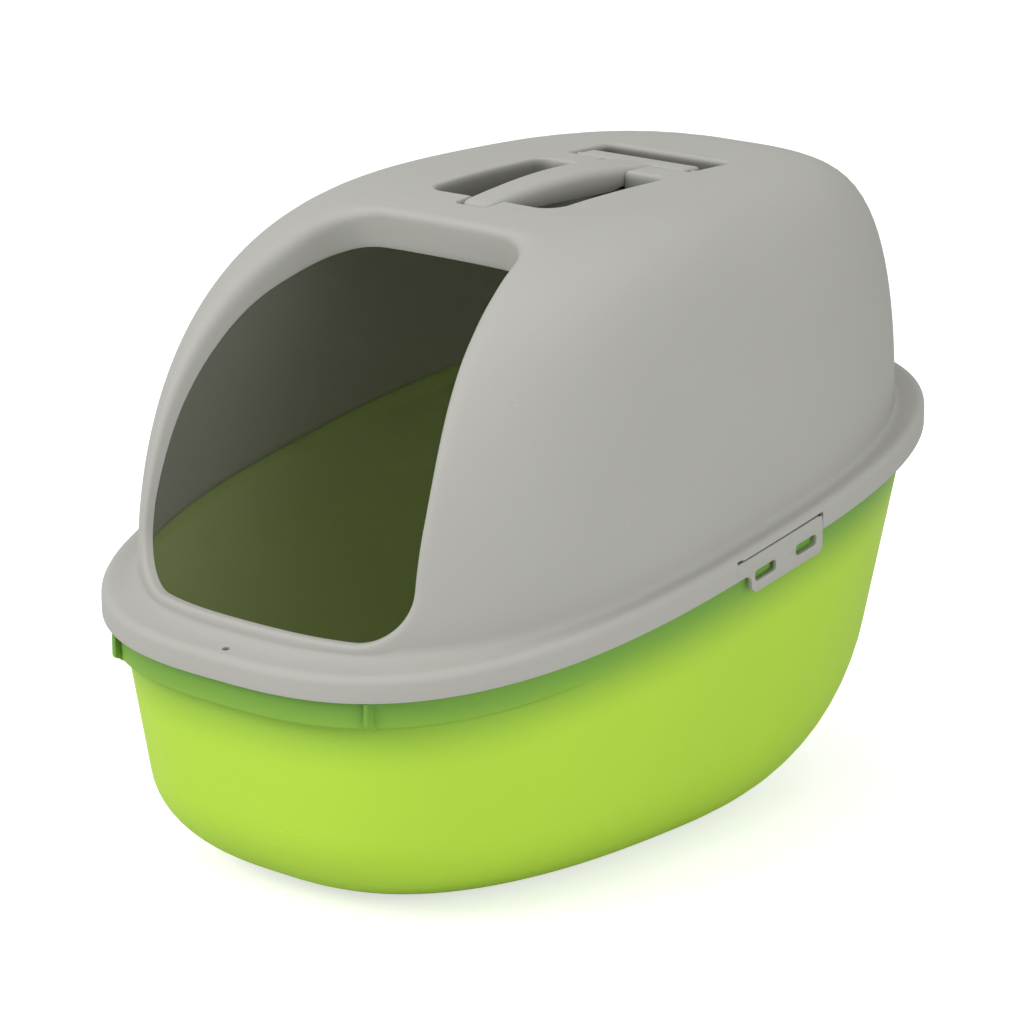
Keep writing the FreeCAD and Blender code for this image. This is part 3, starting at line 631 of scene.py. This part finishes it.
def rim_rows(turn, start, foot):
    """Rim rows: fillet at the dome's foot, ledge, rounded edge and skirt, and the window's top row."""
    ahead = soft_step((-np.sin(turn) - 0.5) / 0.45)
    fillet = FOOT_FILLET + (FRONT_FILLET - FOOT_FILLET) * ahead
    ledge_end = rim(turn, SKIRT_ROUND, SKIRT_HEIGHT)
    gap = ledge_end - foot
    flat_start = foot + gap * (fillet / np.linalg.norm(gap, axis=1))[:, None]
    fillet_rows = bezier(start, foot, flat_start, 5)
    share = np.linspace(0, 1, 8)[1:-1, None, None]
    ledge = (1 - share) * flat_start + share * ledge_end
    lean = np.arcsin(1 - (SKIRT_HEIGHT - WINDOW_TOP) / SKIRT_ROUND)
    bends = np.array([np.pi / 2, 1.25, 0.95, 0.65, 0.42, lean, 0])
    insets = SKIRT_ROUND * (1 - np.cos(bends))
    lifts = SKIRT_HEIGHT - SKIRT_ROUND * (1 - np.sin(bends))
    edge = [rim(turn, inset, lift) for inset, lift in zip(insets, lifts)]
    skirt = [rim(turn, 0, lift) for lift in (5, 2.5, 0)]
    window_row = len(fillet_rows) + len(ledge) + len(bends) - 2
    return on_middle(np.concatenate([fillet_rows, ledge, edge, skirt])), window_row


def vent_patch(rows, keep):
    """Vent in the front ledge: rows from the rim's cells round it in to its circle.

    The cells inside are taken out of keep.
    """
    middle_y = -rows[:, 0, 1]
    top = np.searchsorted(middle_y, -VENT_PLACE - VENT_FIELD) - 1
    foot = np.searchsorted(middle_y, -VENT_PLACE + VENT_FIELD)
    column = 3
    keep[top:foot, :column] = False
    loop = np.concatenate([rows[foot, :column], rows[foot:top:-1, column], rows[top, column::-1]])
    angle = np.arctan2(loop[:, 1] - VENT_PLACE, loop[:, 0])
    circle_y = VENT_PLACE + VENT_RADIUS * np.sin(angle)
    circle_z = np.interp(-circle_y, middle_y, rows[:, 0, 2])
    circle = on_middle(np.stack([VENT_RADIUS * np.cos(angle), circle_y, circle_z], -1))
    share = np.linspace(0, 1, 4)[:, None, None]
    return patch((1 - share) * loop + share * circle)


def hood_skin():
    """Right half of the hood's outer skin as patches: roof panel, brow strip, field, rim, vent and lip.

    The brow strip is plan lines between brow and panel. The field is straight lines in the dome's disc
    from the entrance and the panel out to the foot.
    """
    panel = roof_panel()
    sharp_flat, eased_flat, lower = entrance_edges()
    eased_edge = on_middle(from_disc(eased_flat))

    brow_line = eased_edge[lower - 1 :][::-1]
    share = np.linspace(0, 1, 7)[:, None, None]
    strip = (1 - share) * brow_line[:, :2] + share * panel[0, :, :2]
    strip_rows = dome(*dome_at_plan(strip[..., 0], strip[..., 1]))
    strip_rows[0] = brow_line
    strip_rows[-1] = panel[0]

    border = np.concatenate([strip_rows[1:-1, -1], panel[:, -1], panel[-1, -2::-1]])
    border_flat = to_disc(*dome_at_plan(border[:, 0], border[:, 1]))
    inner = np.concatenate([eased_flat[:lower], border_flat])
    inner_points = np.concatenate([eased_edge[:lower], border])
    turn, window = foot_turns(inner_points)
    foot = dome(np.zeros_like(turn), turn)
    rise = np.minimum(FOOT_FILLET, 0.6 * (inner_points[:, 2] - foot[:, 2]))
    outer = to_disc(rise / DOME_RISE, turn)
    share = np.linspace(0, 1, 25)[:, None, None]
    field = from_disc((1 - share) * inner + share * outer)
    field[0] = inner_points
    field = on_middle(field)

    rows, window_row = rim_rows(turn, field[-1], foot)
    keep = np.ones((len(rows) - 1, len(turn) - 1), bool)
    keep[window_row:, window[0] : window[1]] = False
    keep[window_row - 1, window[0]] = False
    vent = vent_patch(rows, keep)
    lip = entrance_lip(sharp_flat, eased_edge)
    return [patch(panel), patch(strip_rows), patch(field), patch(rows, keep), vent, patch(lip)]


def tub_rows(turn):
    """Rows of the tray's outer skin: flat floor, rounded foot, leaning wall, flared band and collar.

    The foot's radius and the wall's lean go from the sides to the ends with the squared cosine of
    the direction, and the levels tilt with the rim as they climb. The band leans out evenly at the
    sides, steps out near its foot at the front and hugs the wall at the rear.
    """
    slants = np.arctan(LEANS / (RIM_HEIGHT - ROUNDS))
    tops = np.array([TRAY_SIDE, TRAY_END, TRAY_END])
    mids = tops - LEANS - ROUNDS / np.cos(slants)
    crease = RIM_HEIGHT - BAND_HEIGHT
    side = np.cos(turn) ** 2
    rear = np.sin(turn) > 0
    reach = oval(turn, TRAY_POWER)

    def row(places, levels):
        level = levels[0] * side + np.where(rear, levels[2], levels[1]) * (1 - side)
        x = places[0] * reach * np.cos(turn)
        y = np.where(rear, places[2], places[1]) * reach * np.sin(turn)
        return np.stack([x, y, level + SLOPE * y * level / crease], -1)

    floor = row(mids, np.zeros(3))
    rows = [floor * share for share in (0, 0.12, 0.3, 0.5, 0.7, 0.85)]
    for share in np.linspace(0, 1, 17):
        swing = np.pi / 2 + (slants - np.pi / 2) * share
        starts = mids + ROUNDS * np.cos(swing)
        feet = ROUNDS * (1 - np.sin(swing))
        rows.append(row(starts, feet))
    for share in np.linspace(0, 1, 9)[1:]:
        levels = feet + (crease - feet) * share
        rows.append(row(starts + (levels - feet) * np.tan(slants), levels))
    shoulder = rim(turn, COLLAR_INSET, -BAND_GAP)
    top = rim(turn, COLLAR_INSET, COLLAR_TOP)
    corner = rows.pop()
    end = soft_step((np.abs(np.sin(turn)) - 0.35) / 0.45)[:, None]

    def band(height):
        foot = 1 - (1 - np.minimum(height / BAND_STEP_HEIGHT, 1)) ** 1.5
        proud = BAND_STEP * foot + (1 - BAND_STEP) * height
        out = height * (1 - end) + np.where(rear[:, None], height**3, proud) * end
        return corner + (shoulder - corner) * np.concatenate([out, out, height], axis=1)

    after = band(0.24 * (1 - end) + 0.03 * end)
    before = rows[-1] + (corner - rows[-1]) * (0.7 + 0.24 * end)
    lows = (0.06, 0.09, 0.13, 0.17, 0.22)
    heights = (0.28, 0.34, 0.42, 0.52, 0.66, 0.8, 0.9)
    upper = [band(low * end + (0.245 + 0.15 * low) * (1 - end)) for low in lows]
    upper += [band(np.full_like(end, height)) for height in heights]
    below = upper[-1] + (shoulder - upper[-1]) * 0.6
    bend = bezier(below, shoulder, shoulder + (top - shoulder) * 0.15, 4)
    return np.concatenate([np.array(rows), bezier(before, corner, after, 5), upper, bend, [top]])


def web_patch(sign):
    """Upright rib under the skirt: a flat outline with a round outer corner, swept across."""
    reach = (1 - (WEB_PLACE / (RIM_HALF - WEB_INSET)) ** RIM_POWER) ** (1 / RIM_POWER)
    outer = -(RIM_END - WEB_INSET) * reach
    turn = np.linspace(0, np.pi / 2, 7)
    bow_y = outer + WEB_CORNER * (1 - np.cos(turn))
    bow = np.stack([bow_y, -13 - WEB_CORNER * np.sin(turn)], -1)
    root = [[outer + 7, -20], [outer + 9, -20], [outer + 6, -15], [outer + 6, WEB_TOP]]
    outline = np.concatenate([[[outer, WEB_TOP]], bow, root])
    outline[:, 1] += RIM_HEIGHT + SLOPE * outline[:, 0]
    middle = outline.mean(0)
    # Place across the thickness and share of the outline's size, layer by layer
    layers = []
    for place, share in ((-1.5, 0), (-1.5, 0.94), (-1.1, 1), (1.1, 1), (1.5, 0.94), (1.5, 0)):
        flat = middle + (outline - middle) * share
        across = np.full(len(flat), sign * WEB_PLACE + place)
        layers.append(np.stack([across, flat[:, 0], flat[:, 1]], -1))
    return ring_patch(np.array(layers))


def lug_patch(sign, along):
    """Catch behind a latch slot: a block of squared oval sections that shrink to a soft face."""
    turn = np.linspace(0, 2 * np.pi, 41)[:-1]
    reach = oval(turn, 7)
    level = RIM_HEIGHT + SLOPE * along - LUG_DROP
    # Place across the box and inset of each section
    layers = []
    for place, inset in ((192, 8), (192, 0), (194.6, 0), (195.2, 0.25), (195.4, 0.8), (195.4, 8)):
        y = along + max(LUG_HALF_LENGTH - inset, 0) * reach * np.cos(turn)
        z = level + max(LUG_HALF_HEIGHT - inset, 0) * reach * np.sin(turn) + SLOPE * (y - along)
        layers.append(np.stack([np.full(len(turn), sign * place), y, z], -1))
    return ring_patch(np.array(layers))


def bar_rows():
    """Cross-sections of the handle's bar from its tip to the crossbar.

    Each is an upside-down channel: crowned top, rounded shoulders, two skirts and a ceiling between
    them. The width is a squared oval at the tip and flares to the crossbar, the top is a flat arc and
    the skirts hang a little lower between smooth steps.
    """
    over_bowl = spread(
        (BAR_FRONT, -42.5, 6),
        (-42.5, -35, 9),
        (-35, BELLY_FRONT, 8),
        (BELLY_FRONT, BELLY_REAR, 26),
        (BELLY_REAR, SKIRT_END - 0.1, 8),
    )
    along = np.concatenate([over_bowl, spread((SKIRT_END + 0.1, BAR_REAR, 12))])
    run = np.clip((along - BAR_FRONT) / (BAR_BOW_END - BAR_FRONT), 0, 1)
    top = BAR_TIP_TOP + (BAR_REAR_TOP - BAR_TIP_TOP) * run + BAR_BOW * 4 * run * (1 - run)
    near = np.clip((along - BAR_FRONT) / 8, 0, 1)
    half = BAR_HALF * (1 - (1 - near) ** 3) ** (1 / 3) + flare(along)
    sink = np.clip((along - BELLY_FRONT) / 20, 0, 1) * np.clip((BELLY_REAR - along) / 10, 0, 1)
    belly = BAR_BELLY * soft_step(sink)
    bottom = np.where(along < SKIRT_END, BAR_BOTTOM - belly, NECK_BOTTOM)
    fade = np.clip((along - HOLLOW_FRONT) / 6, 0, 1) * np.clip((HOLLOW_REAR - along) / 1.5, 0, 1)
    hollow = HOLLOW_DEPTH * fade + belly
    thick = top - bottom
    droop = 1 - np.sqrt(np.maximum(1 - (1 - near) ** 2, 0))
    top = top - droop * BAR_TIP_DROOP
    turn = np.linspace(0, np.pi / 2, 7)
    ease = np.minimum(np.minimum(BAR_EASE, half * 0.7), thick * 0.6)[:, None]
    half, top, bottom, hollow = (value[:, None] for value in (half, top, bottom, hollow))
    crown = np.array([0, 0.35, 0.7])
    side = np.minimum(BAR_SIDE, half * 0.5)
    flat = half - ease
    rounding = BAR_CROWN / np.maximum(half, 0.1) ** 2
    x = np.concatenate(
        [
            flat * crown,
            flat + ease * np.sin(turn),
            half,
            half - 0.5,
            half - side,
            half - side,
            (half - side) * 0.5,
            np.zeros_like(half),
        ],
        axis=1,
    )
    z = np.concatenate(
        [
            top - rounding * (flat * crown) ** 2,
            top - ease + (ease - rounding * flat**2) * np.cos(turn),
            bottom + 0.5,
            bottom,
            bottom,
            bottom + hollow,
            bottom + hollow,
            bottom + hollow,
        ],
        axis=1,
    )
    y = np.broadcast_to(along[:, None], x.shape)
    right = np.stack([x, y, z], -1)
    left = right[:, -2:0:-1] * [-1, 1, 1]
    loop = np.concatenate([right, left], axis=1)
    middle = np.broadcast_to(loop.mean(axis=1, keepdims=True), loop.shape)
    return np.concatenate([middle[:1], loop, middle[-1:]])


def round_bar(stations, radii_y, radii_z, power, centre):
    """Bar along X: superellipse sections at stations, with their own half sizes, closed at the ends."""
    turn = np.linspace(0, 2 * np.pi, 49)[:-1]
    reach = oval(turn, power)
    y = centre[0] + radii_y[:, None] * reach * np.cos(turn)
    z = centre[1] + radii_z[:, None] * reach * np.sin(turn)
    x = np.broadcast_to(stations[:, None], y.shape)
    return ring_patch(np.stack([x, y, z], -1))


def crossbar_patch():
    """Crossbar: a squared oval section along X that rounds off at both ends."""
    turn = np.linspace(0, np.pi / 2, 5)
    end = CROSS_HALF - CROSS_ROUND + CROSS_ROUND * np.sin(turn)
    shrink = CROSS_ROUND - CROSS_ROUND * np.cos(turn)
    stations = np.concatenate([-end[::-1], np.linspace(-40, 40, 9), end])
    inset = np.concatenate([shrink[::-1], np.zeros(9), shrink])
    stations = np.concatenate([stations[:1], stations, stations[-1:]])
    inset = np.concatenate([[CROSS_WIDTH], inset, [CROSS_WIDTH]])
    width = np.maximum(CROSS_WIDTH / 2 - inset, 0)
    depth = np.maximum(CROSS_DEPTH / 2 - inset, 0)
    return round_bar(stations, width, depth, 6, (HINGE, ROOF - CROSS_DEPTH / 2))


def pin_patch(sign):
    """Hinge pin: a round bar that leaves the crossbar's end."""
    stations = sign * np.array([CROSS_HALF - 4, CROSS_HALF - 4, PIN_END - 0.6, PIN_END, PIN_END])
    radii = np.array([0, PIN_RADIUS, PIN_RADIUS, PIN_RADIUS - 0.6, 0])
    return round_bar(stations, radii, radii, 2, (HINGE, ROOF - CROSS_DEPTH / 2))


def latch_piece(name, node, material):
    """Latch plate from its solid: free upper corner squared, root closed on the skirt, edges softened.

    The corner's arc becomes a squarer superellipse of the same reach. The root face is moved on to
    the skirt's cut edge and stays sharp, so plate and skirt read as one.
    """
    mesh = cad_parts[node].data.copy()
    mesh.name = name
    solid = bmesh.new()
    solid.from_mesh(mesh)
    bmesh.ops.remove_doubles(solid, verts=solid.verts, dist=MERGE)
    bmesh.ops.dissolve_limit(solid, angle_limit=np.radians(2), verts=solid.verts, edges=solid.edges)
    solid.to_mesh(mesh)
    solid.free()
    points = np.empty(len(mesh.vertices) * 3)
    mesh.vertices.foreach_get("co", points)
    points = points.reshape(-1, 3) / MM
    lift = points[:, 2] - RIM_HEIGHT - SLOPE * points[:, 1]
    along = points[:, 1] - (LATCH_REAR - LATCH_ROUND)
    above = lift - (LATCH_TOP - LATCH_ROUND)
    at_corner = (along > 0) & (above > 0)
    angle = np.arctan2(above, along)
    further = np.where(at_corner, oval(angle, LATCH_CORNER_POWER) - 1, 0)
    points[:, 1] += along * further
    points[:, 2] += (above + SLOPE * along) * further
    points[:, 1] = np.where(points[:, 1] < LATCH_ROOT + 0.1, WINDOW_FRONT, points[:, 1])
    mesh.vertices.foreach_set("co", (points * MM).ravel())
    mesh.update()
    solid = bmesh.new()
    solid.from_mesh(mesh)
    sharp = [e for e in solid.edges if e.is_manifold and e.calc_face_angle() > np.radians(40)]
    root = (WINDOW_FRONT + 0.2) * MM
    sharp = [e for e in sharp if max(v.co.y for v in e.verts) > root]
    bmesh.ops.bevel(
        solid,
        geom=sharp,
        offset=LATCH_SOFTNESS * MM,
        segments=2,
        profile=0.5,
        affect="EDGES",
        clamp_overlap=True,
    )
    solid.to_mesh(mesh)
    solid.free()
    item = bpy.data.objects.new(name, mesh)
    bpy.context.scene.collection.objects.link(item)
    mesh.materials.clear()
    mesh.materials.append(material)
    mesh.shade_smooth()
    mesh.set_sharp_from_angle(angle=np.radians(40))
    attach(item, node)
    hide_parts(node)
    return item


def feed(tree, socket, value):
    """Sets a socket to a number or a colour, or links it to another node's output."""
    if isinstance(value, (int, float, tuple)):
        socket.default_value = value
    else:
        tree.links.new(value, socket)


def maths(tree, operation, *values):
    """Output of a maths node."""
    node = tree.nodes.new("ShaderNodeMath")
    node.operation = operation
    for socket, value in zip(node.inputs, values):
        feed(tree, socket, value)
    return node.outputs["Value"]


def ramp(tree, value, start, end, low=0, high=1, kind="LINEAR"):
    """Output of a map range node: a value's run from start to end, laid on low to high."""
    node = tree.nodes.new("ShaderNodeMapRange")
    node.interpolation_type = kind
    labels = ("Value", "From Min", "From Max", "To Min", "To Max")
    for label, given in zip(labels, (value, start, end, low, high)):
        feed(tree, node.inputs[label], given)
    return node.outputs["Result"]


def noise(tree, place, scale, detail, roughness=0.5):
    """Output of a noise texture."""
    node = tree.nodes.new("ShaderNodeTexNoise")
    labels = ("Vector", "Scale", "Detail", "Roughness")
    for label, given in zip(labels, (place, scale, detail, roughness)):
        feed(tree, node.inputs[label], given)
    return node.outputs["Fac"]


def object_place(tree):
    """Object coordinates."""
    return tree.nodes.new("ShaderNodeTexCoord").outputs["Object"]


def axes_of(tree, vector):
    """The three parts of a vector."""
    parts = tree.nodes.new("ShaderNodeSeparateXYZ")
    feed(tree, parts.inputs["Vector"], vector)
    return [parts.outputs[axis] for axis in "XYZ"]


def node_group(name, inputs, outputs):
    """Empty shader node group with named numbers going in and coming out."""
    tree = bpy.data.node_groups.new(name, "ShaderNodeTree")
    for label in inputs:
        tree.interface.new_socket(label, in_out="INPUT", socket_type="NodeSocketFloat")
    for label in outputs:
        tree.interface.new_socket(label, in_out="OUTPUT", socket_type="NodeSocketFloat")
    given = tree.nodes.new("NodeGroupInput").outputs
    return tree, given, tree.nodes.new("NodeGroupOutput").inputs


def moulded_grain():
    """Node group: fine moulded grain as a height, and slow cloudy patches as a mask."""
    tree, given, out = node_group("moulded_grain", ["Fineness", "Cloudiness"], ["Height", "Patches"])
    place = object_place(tree)
    feed(tree, out["Height"], noise(tree, place, given["Fineness"], 3, 0.6))
    feed(tree, out["Patches"], noise(tree, place, given["Cloudiness"], 4))
    return tree


def scuffs():
    """Node group: sparse fine scratches, the brightest ridges of long noise streaks, as a mask."""
    tree, given, out = node_group("scuffs", ["Amount"], ["Mask"])
    place = object_place(tree)
    stretch = tree.nodes.new("ShaderNodeMapping")
    feed(tree, stretch.inputs["Vector"], place)
    feed(tree, stretch.inputs["Rotation"], (0.5, 0.3, 0.7))
    feed(tree, stretch.inputs["Scale"], (18, 420, 420))
    ridge = ramp(tree, noise(tree, stretch.outputs["Vector"], 1, 2), 0.66, 0.76)
    where = ramp(tree, noise(tree, place, 14, 2), 0.5, 0.68)
    both = maths(tree, "MULTIPLY", ridge, where)
    feed(tree, out["Mask"], maths(tree, "MULTIPLY", both, given["Amount"]))
    return tree


def settled_dust():
    """Node group: dust on faces that look up, broken up by noise, as a mask."""
    tree, given, out = node_group("settled_dust", ["Amount"], ["Mask"])
    shape = tree.nodes.new("ShaderNodeNewGeometry")
    upward = ramp(tree, axes_of(tree, shape.outputs["Normal"])[2], 0.2, 1)
    uneven = ramp(tree, noise(tree, object_place(tree), 45, 6, 0.7), 0.35, 0.7)
    both = maths(tree, "MULTIPLY", upward, uneven)
    feed(tree, out["Mask"], maths(tree, "MULTIPLY", both, given["Amount"]))
    return tree


def rim_shade():
    """Node group: painted shade under the rim: nearness to its sloping plane from below, as a mask that
    fades down.
    """
    tree, given, out = node_group("rim_shade", ["Reach"], ["Mask"])
    _, y, z = axes_of(tree, object_place(tree))
    plane = maths(tree, "MULTIPLY_ADD", y, SLOPE, RIM_HEIGHT * MM)
    below = maths(tree, "SUBTRACT", plane, z)
    feed(tree, out["Mask"], ramp(tree, below, 0, given["Reach"], 1, 0, "SMOOTHSTEP"))
    return tree


def recess_shade():
    """Node group: depth below the roof in a stretch of the handle's field, as a mask for painted shade.

    The roof line is level at the rear and falls with the squared distance towards the front.
    """
    tree, given, out = node_group("recess_shade", ["Front", "Rear", "Start", "Full"], ["Mask"])
    x, y, z = axes_of(tree, object_place(tree))
    ahead = maths(tree, "MAXIMUM", maths(tree, "SUBTRACT", ROOF_LEVEL_END * MM, y), 0)
    fall = maths(tree, "MULTIPLY", maths(tree, "MULTIPLY", ahead, ahead), ROOF_FALL)
    depth = maths(tree, "SUBTRACT", maths(tree, "SUBTRACT", ROOF * MM, fall), z)
    across = maths(tree, "LESS_THAN", maths(tree, "ABSOLUTE", x), PAINTED_SHADE_HALF * MM)
    behind = maths(tree, "GREATER_THAN", y, given["Front"])
    along = maths(tree, "MULTIPLY", behind, maths(tree, "LESS_THAN", y, given["Rear"]))
    fade = ramp(tree, depth, given["Start"], given["Full"], kind="SMOOTHSTEP")
    field = maths(tree, "MULTIPLY", across, along)
    feed(tree, out["Mask"], maths(tree, "MULTIPLY", field, fade))
    return tree


GRAIN = moulded_grain()
SCUFFS = scuffs()
DUST = settled_dust()
SHADE = rim_shade()
RECESS = recess_shade()


def add_group(tree, group, **values):
    """Outputs of a group node with its inputs set."""
    node = tree.nodes.new("ShaderNodeGroup")
    node.node_tree = group
    for label, value in values.items():
        feed(tree, node.inputs[label], value)
    return node.outputs


def blend_tone(tree, mask, below, tone):
    """Colour below a mask, blended to a tone where the mask is strong."""
    mix = tree.nodes.new("ShaderNodeMix")
    mix.data_type = "RGBA"
    feed(tree, mix.inputs["Factor"], mask)
    feed(tree, mix.inputs[6], below)
    feed(tree, mix.inputs[7], (*tone, 1))
    return mix.outputs[2]


def plastic(name, pale, deep, gloss, scratch, dust, dust_tone, shade=None, painted_recess_shade=()):
    """Moulded plastic: cloudy colour between two tones, fine grain, faint scratches and a little dust.

    gloss is the range of roughness over the cloudy patches. shade is a reach below the rim and the
    tone of the shade painted there, where no light comes through. The recess list gives stretches of
    the handle's recesses where shade is painted: front and rear, the depths where the painted shade
    starts and is full, and its tone.
    """
    material = bpy.data.materials.new(name)
    material.use_nodes = True
    tree = material.node_tree
    shader = tree.nodes["Principled BSDF"].inputs
    grain = add_group(tree, GRAIN, Fineness=1500, Cloudiness=9)
    marks = add_group(tree, SCUFFS, Amount=scratch)
    film = add_group(tree, DUST, Amount=dust)
    tone = blend_tone(tree, grain["Patches"], (*deep, 1), pale)
    # Painted shade below the rim, fading downwards
    if shade is not None:
        near = add_group(tree, SHADE, Reach=shade[0] * MM)
        tone = blend_tone(tree, near["Mask"], tone, shade[1])
    # Painted shade in the handle's recesses, darker with depth below the roof
    for front, rear, start, full, dark in painted_recess_shade:
        stretch = {"Front": front * MM, "Rear": rear * MM, "Start": start * MM, "Full": full * MM}
        recess_shade_mask = add_group(tree, RECESS, **stretch)
        tone = blend_tone(tree, recess_shade_mask["Mask"], tone, dark)
    worn = tuple(min(1, channel * 1.25 + 0.05) for channel in pale)
    tone = blend_tone(tree, marks["Mask"], tone, worn)
    tone = blend_tone(tree, film["Mask"], tone, dust_tone)
    feed(tree, shader["Base Color"], tone)
    rough = ramp(tree, grain["Patches"], 0.3, 0.7, *gloss)
    feed(tree, shader["Roughness"], maths(tree, "MULTIPLY_ADD", film["Mask"], 0.35, rough))
    bump = tree.nodes.new("ShaderNodeBump")
    feed(tree, bump.inputs["Strength"], 0.14)
    feed(tree, bump.inputs["Distance"], 0.3 * MM)
    feed(tree, bump.inputs["Height"], grain["Height"])
    feed(tree, shader["Normal"], bump.outputs["Normal"])
    feed(tree, shader["Specular IOR Level"], 0.18)
    return material


# Painted shade from the lips down, in the depth of the bowl and in the hinge pocket
RECESS_PAINTED_SHADE = (
    (-50, 150, 0.5, 6, (0.225, 0.222, 0.203)),
    (-50, 100, 13, 24, (0.095, 0.094, 0.085)),
    (100, 150, 1, 5.5, (0.12, 0.118, 0.107)),
)
GREY = {
    "pale": (0.405, 0.4, 0.372),
    "deep": (0.375, 0.37, 0.342),
    "gloss": (0.5, 0.62),
    "scratch": 0.25,
    "dust": 0.12,
    "dust_tone": (0.45, 0.44, 0.41),
}
grey = plastic("grey_plastic_moulded", **GREY)
# The hood's grey carries painted shade in the handle's recesses
grey_hood = plastic("grey_plastic_hood", **GREY, painted_recess_shade=RECESS_PAINTED_SHADE)
green = plastic(
    "green_plastic_moulded",
    pale=(0.455, 0.685, 0.058),
    deep=(0.42, 0.65, 0.05),
    gloss=(0.5, 0.6),
    scratch=0.25,
    dust=0.1,
    dust_tone=(0.43, 0.58, 0.15),
    # Painted shade reaching 54 mm below the rim, and its tone
    shade=(54, (0.15, 0.32, 0.05)),
)
green_inside = plastic(
    "green_plastic_inside",
    pale=(0.51, 0.6, 0.28),
    deep=(0.45, 0.54, 0.24),
    gloss=(0.55, 0.7),
    scratch=0.5,
    dust=0.5,
    dust_tone=(0.44, 0.43, 0.33),
)


def window_root(spot):
    """True at the skirt's cut edge where a latch plate goes on without a gap."""
    return abs(spot.x) > RIM_HALF - 5 and abs(spot.y - WINDOW_FRONT) < 0.6 and spot.z < RIM_HEIGHT + 8


roof_up = ((0, 155, ROOF), (0, 0, 1))
hood = piece("hood_shell", mirrored(hood_skin()), "hood", grey_hood, roof_up)
thicken(hood, WALL, 0.6, window_root)
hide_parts("hood")

tray_turn = np.linspace(0, 2 * np.pi, 289)[:-1]
tray_skin = [ring_patch(tub_rows(tray_turn))]
floor_down = ((0, 0, 0), (0, 0, -1))
tray = piece("tray_shell", tray_skin, "tray", green, floor_down)
thicken(tray, WALL, 0.8, inner=green_inside)
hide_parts("tray")
for side, sign in (("right", 1), ("left", -1)):
    piece(f"{side}_web", [web_patch(sign)], "tray", green)
    for order, along in zip(("front", "rear"), LUG_PLACES):
        piece(f"{side}_{order}_lug", [lug_patch(sign, along)], "tray", green)

bar = piece("handle_bar", [ring_patch(bar_rows())], "carry_handle", grey)
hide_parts("carry_handle")
piece("handle_crossbar", [crossbar_patch()], "carry_handle", grey)
for side, sign in (("right", 1), ("left", -1)):
    piece(f"handle_{side}_pin", [pin_patch(sign)], "carry_handle", grey)
for side in ("left", "right"):
    latch_piece(f"{side}_latch_plate", f"{side}_latch", grey)


def studio():
    """White floor that keeps the shadow, a white sky for the camera, soft lamps and the camera."""
    mesh = bpy.data.meshes.new("floor")
    mesh.from_pydata([(-8, -8, 0), (8, -8, 0), (8, 8, 0), (-8, 8, 0)], [], [(0, 1, 2, 3)])
    floor = bpy.data.objects.new("floor", mesh)
    bpy.context.scene.collection.objects.link(floor)
    paint = bpy.data.materials.new("floor_white")
    paint.use_nodes = True
    tree = paint.node_tree
    shader = tree.nodes["Principled BSDF"].inputs
    feed(tree, shader["Base Color"], (0.75, 0.75, 0.75, 1))
    feed(tree, shader["Roughness"], 0.9)
    feed(tree, shader["Specular IOR Level"], 0)
    feed(tree, shader["Emission Color"], (1, 1, 1, 1))
    path = tree.nodes.new("ShaderNodeLightPath").outputs
    feed(tree, shader["Emission Strength"], maths(tree, "MULTIPLY", path["Is Camera Ray"], 0.6))
    mesh.materials.append(paint)

    world = bpy.data.worlds.new("studio")
    bpy.context.scene.world = world
    world.use_nodes = True
    tree = world.node_tree
    sky = tree.nodes["Background"]
    feed(tree, sky.inputs["Color"], (1, 1, 1, 1))
    feed(tree, sky.inputs["Strength"], 0.55)
    backdrop = tree.nodes.new("ShaderNodeBackground")
    feed(tree, backdrop.inputs["Color"], (1, 1, 1, 1))
    feed(tree, backdrop.inputs["Strength"], 1)
    path = tree.nodes.new("ShaderNodeLightPath").outputs
    seen = maths(tree, "MAXIMUM", path["Is Camera Ray"], path["Is Transmission Ray"])
    mix = tree.nodes.new("ShaderNodeMixShader")
    feed(tree, mix.inputs["Fac"], seen)
    feed(tree, mix.inputs[1], sky.outputs["Background"])
    feed(tree, mix.inputs[2], backdrop.outputs["Background"])
    feed(tree, tree.nodes["World Output"].inputs["Surface"], mix.outputs["Shader"])

    for name, place, width, power in (
        ("right", (2.4, -0.7, 0.45), 1.8, 26),
        ("top", (0.0, -0.2, 3.0), 2.6, 28),
        ("front_left", (-1.3, -2.3, 1.8), 1.8, 47),
    ):
        lamp = bpy.data.lights.new(name, "AREA")
        lamp.size = width
        lamp.energy = power
        item = bpy.data.objects.new(name, lamp)
        item.location = place
        aim = Vector((0, 0, 0.2)) - Vector(place)
        item.rotation_euler = aim.to_track_quat("-Z", "Y").to_euler()
        bpy.context.scene.collection.objects.link(item)

    azimuth, elevation = np.radians(CAMERA_TURN), np.radians(CAMERA_RISE)
    level = np.cos(elevation)
    back = Vector((np.sin(azimuth) * level, -np.cos(azimuth) * level, np.sin(elevation)))
    right = Vector((np.cos(azimuth), np.sin(azimuth), 0))
    up = back.cross(right)
    camera = bpy.data.objects.new("camera", bpy.data.cameras.new("camera"))
    camera.data.sensor_width = SENSOR_WIDTH
    camera.data.sensor_fit = "HORIZONTAL"
    camera.data.lens = SENSOR_WIDTH * CAMERA_FOCAL / PHOTO_WIDTH
    camera.data.clip_end = 50
    axes = Matrix((right, up, back)).transposed().to_4x4()
    axes.translation = Vector(CAMERA_PLACE)
    camera.matrix_world = axes
    bpy.context.scene.collection.objects.link(camera)
    bpy.context.scene.camera = camera
    bpy.context.scene.view_settings.view_transform = "Standard"


studio()
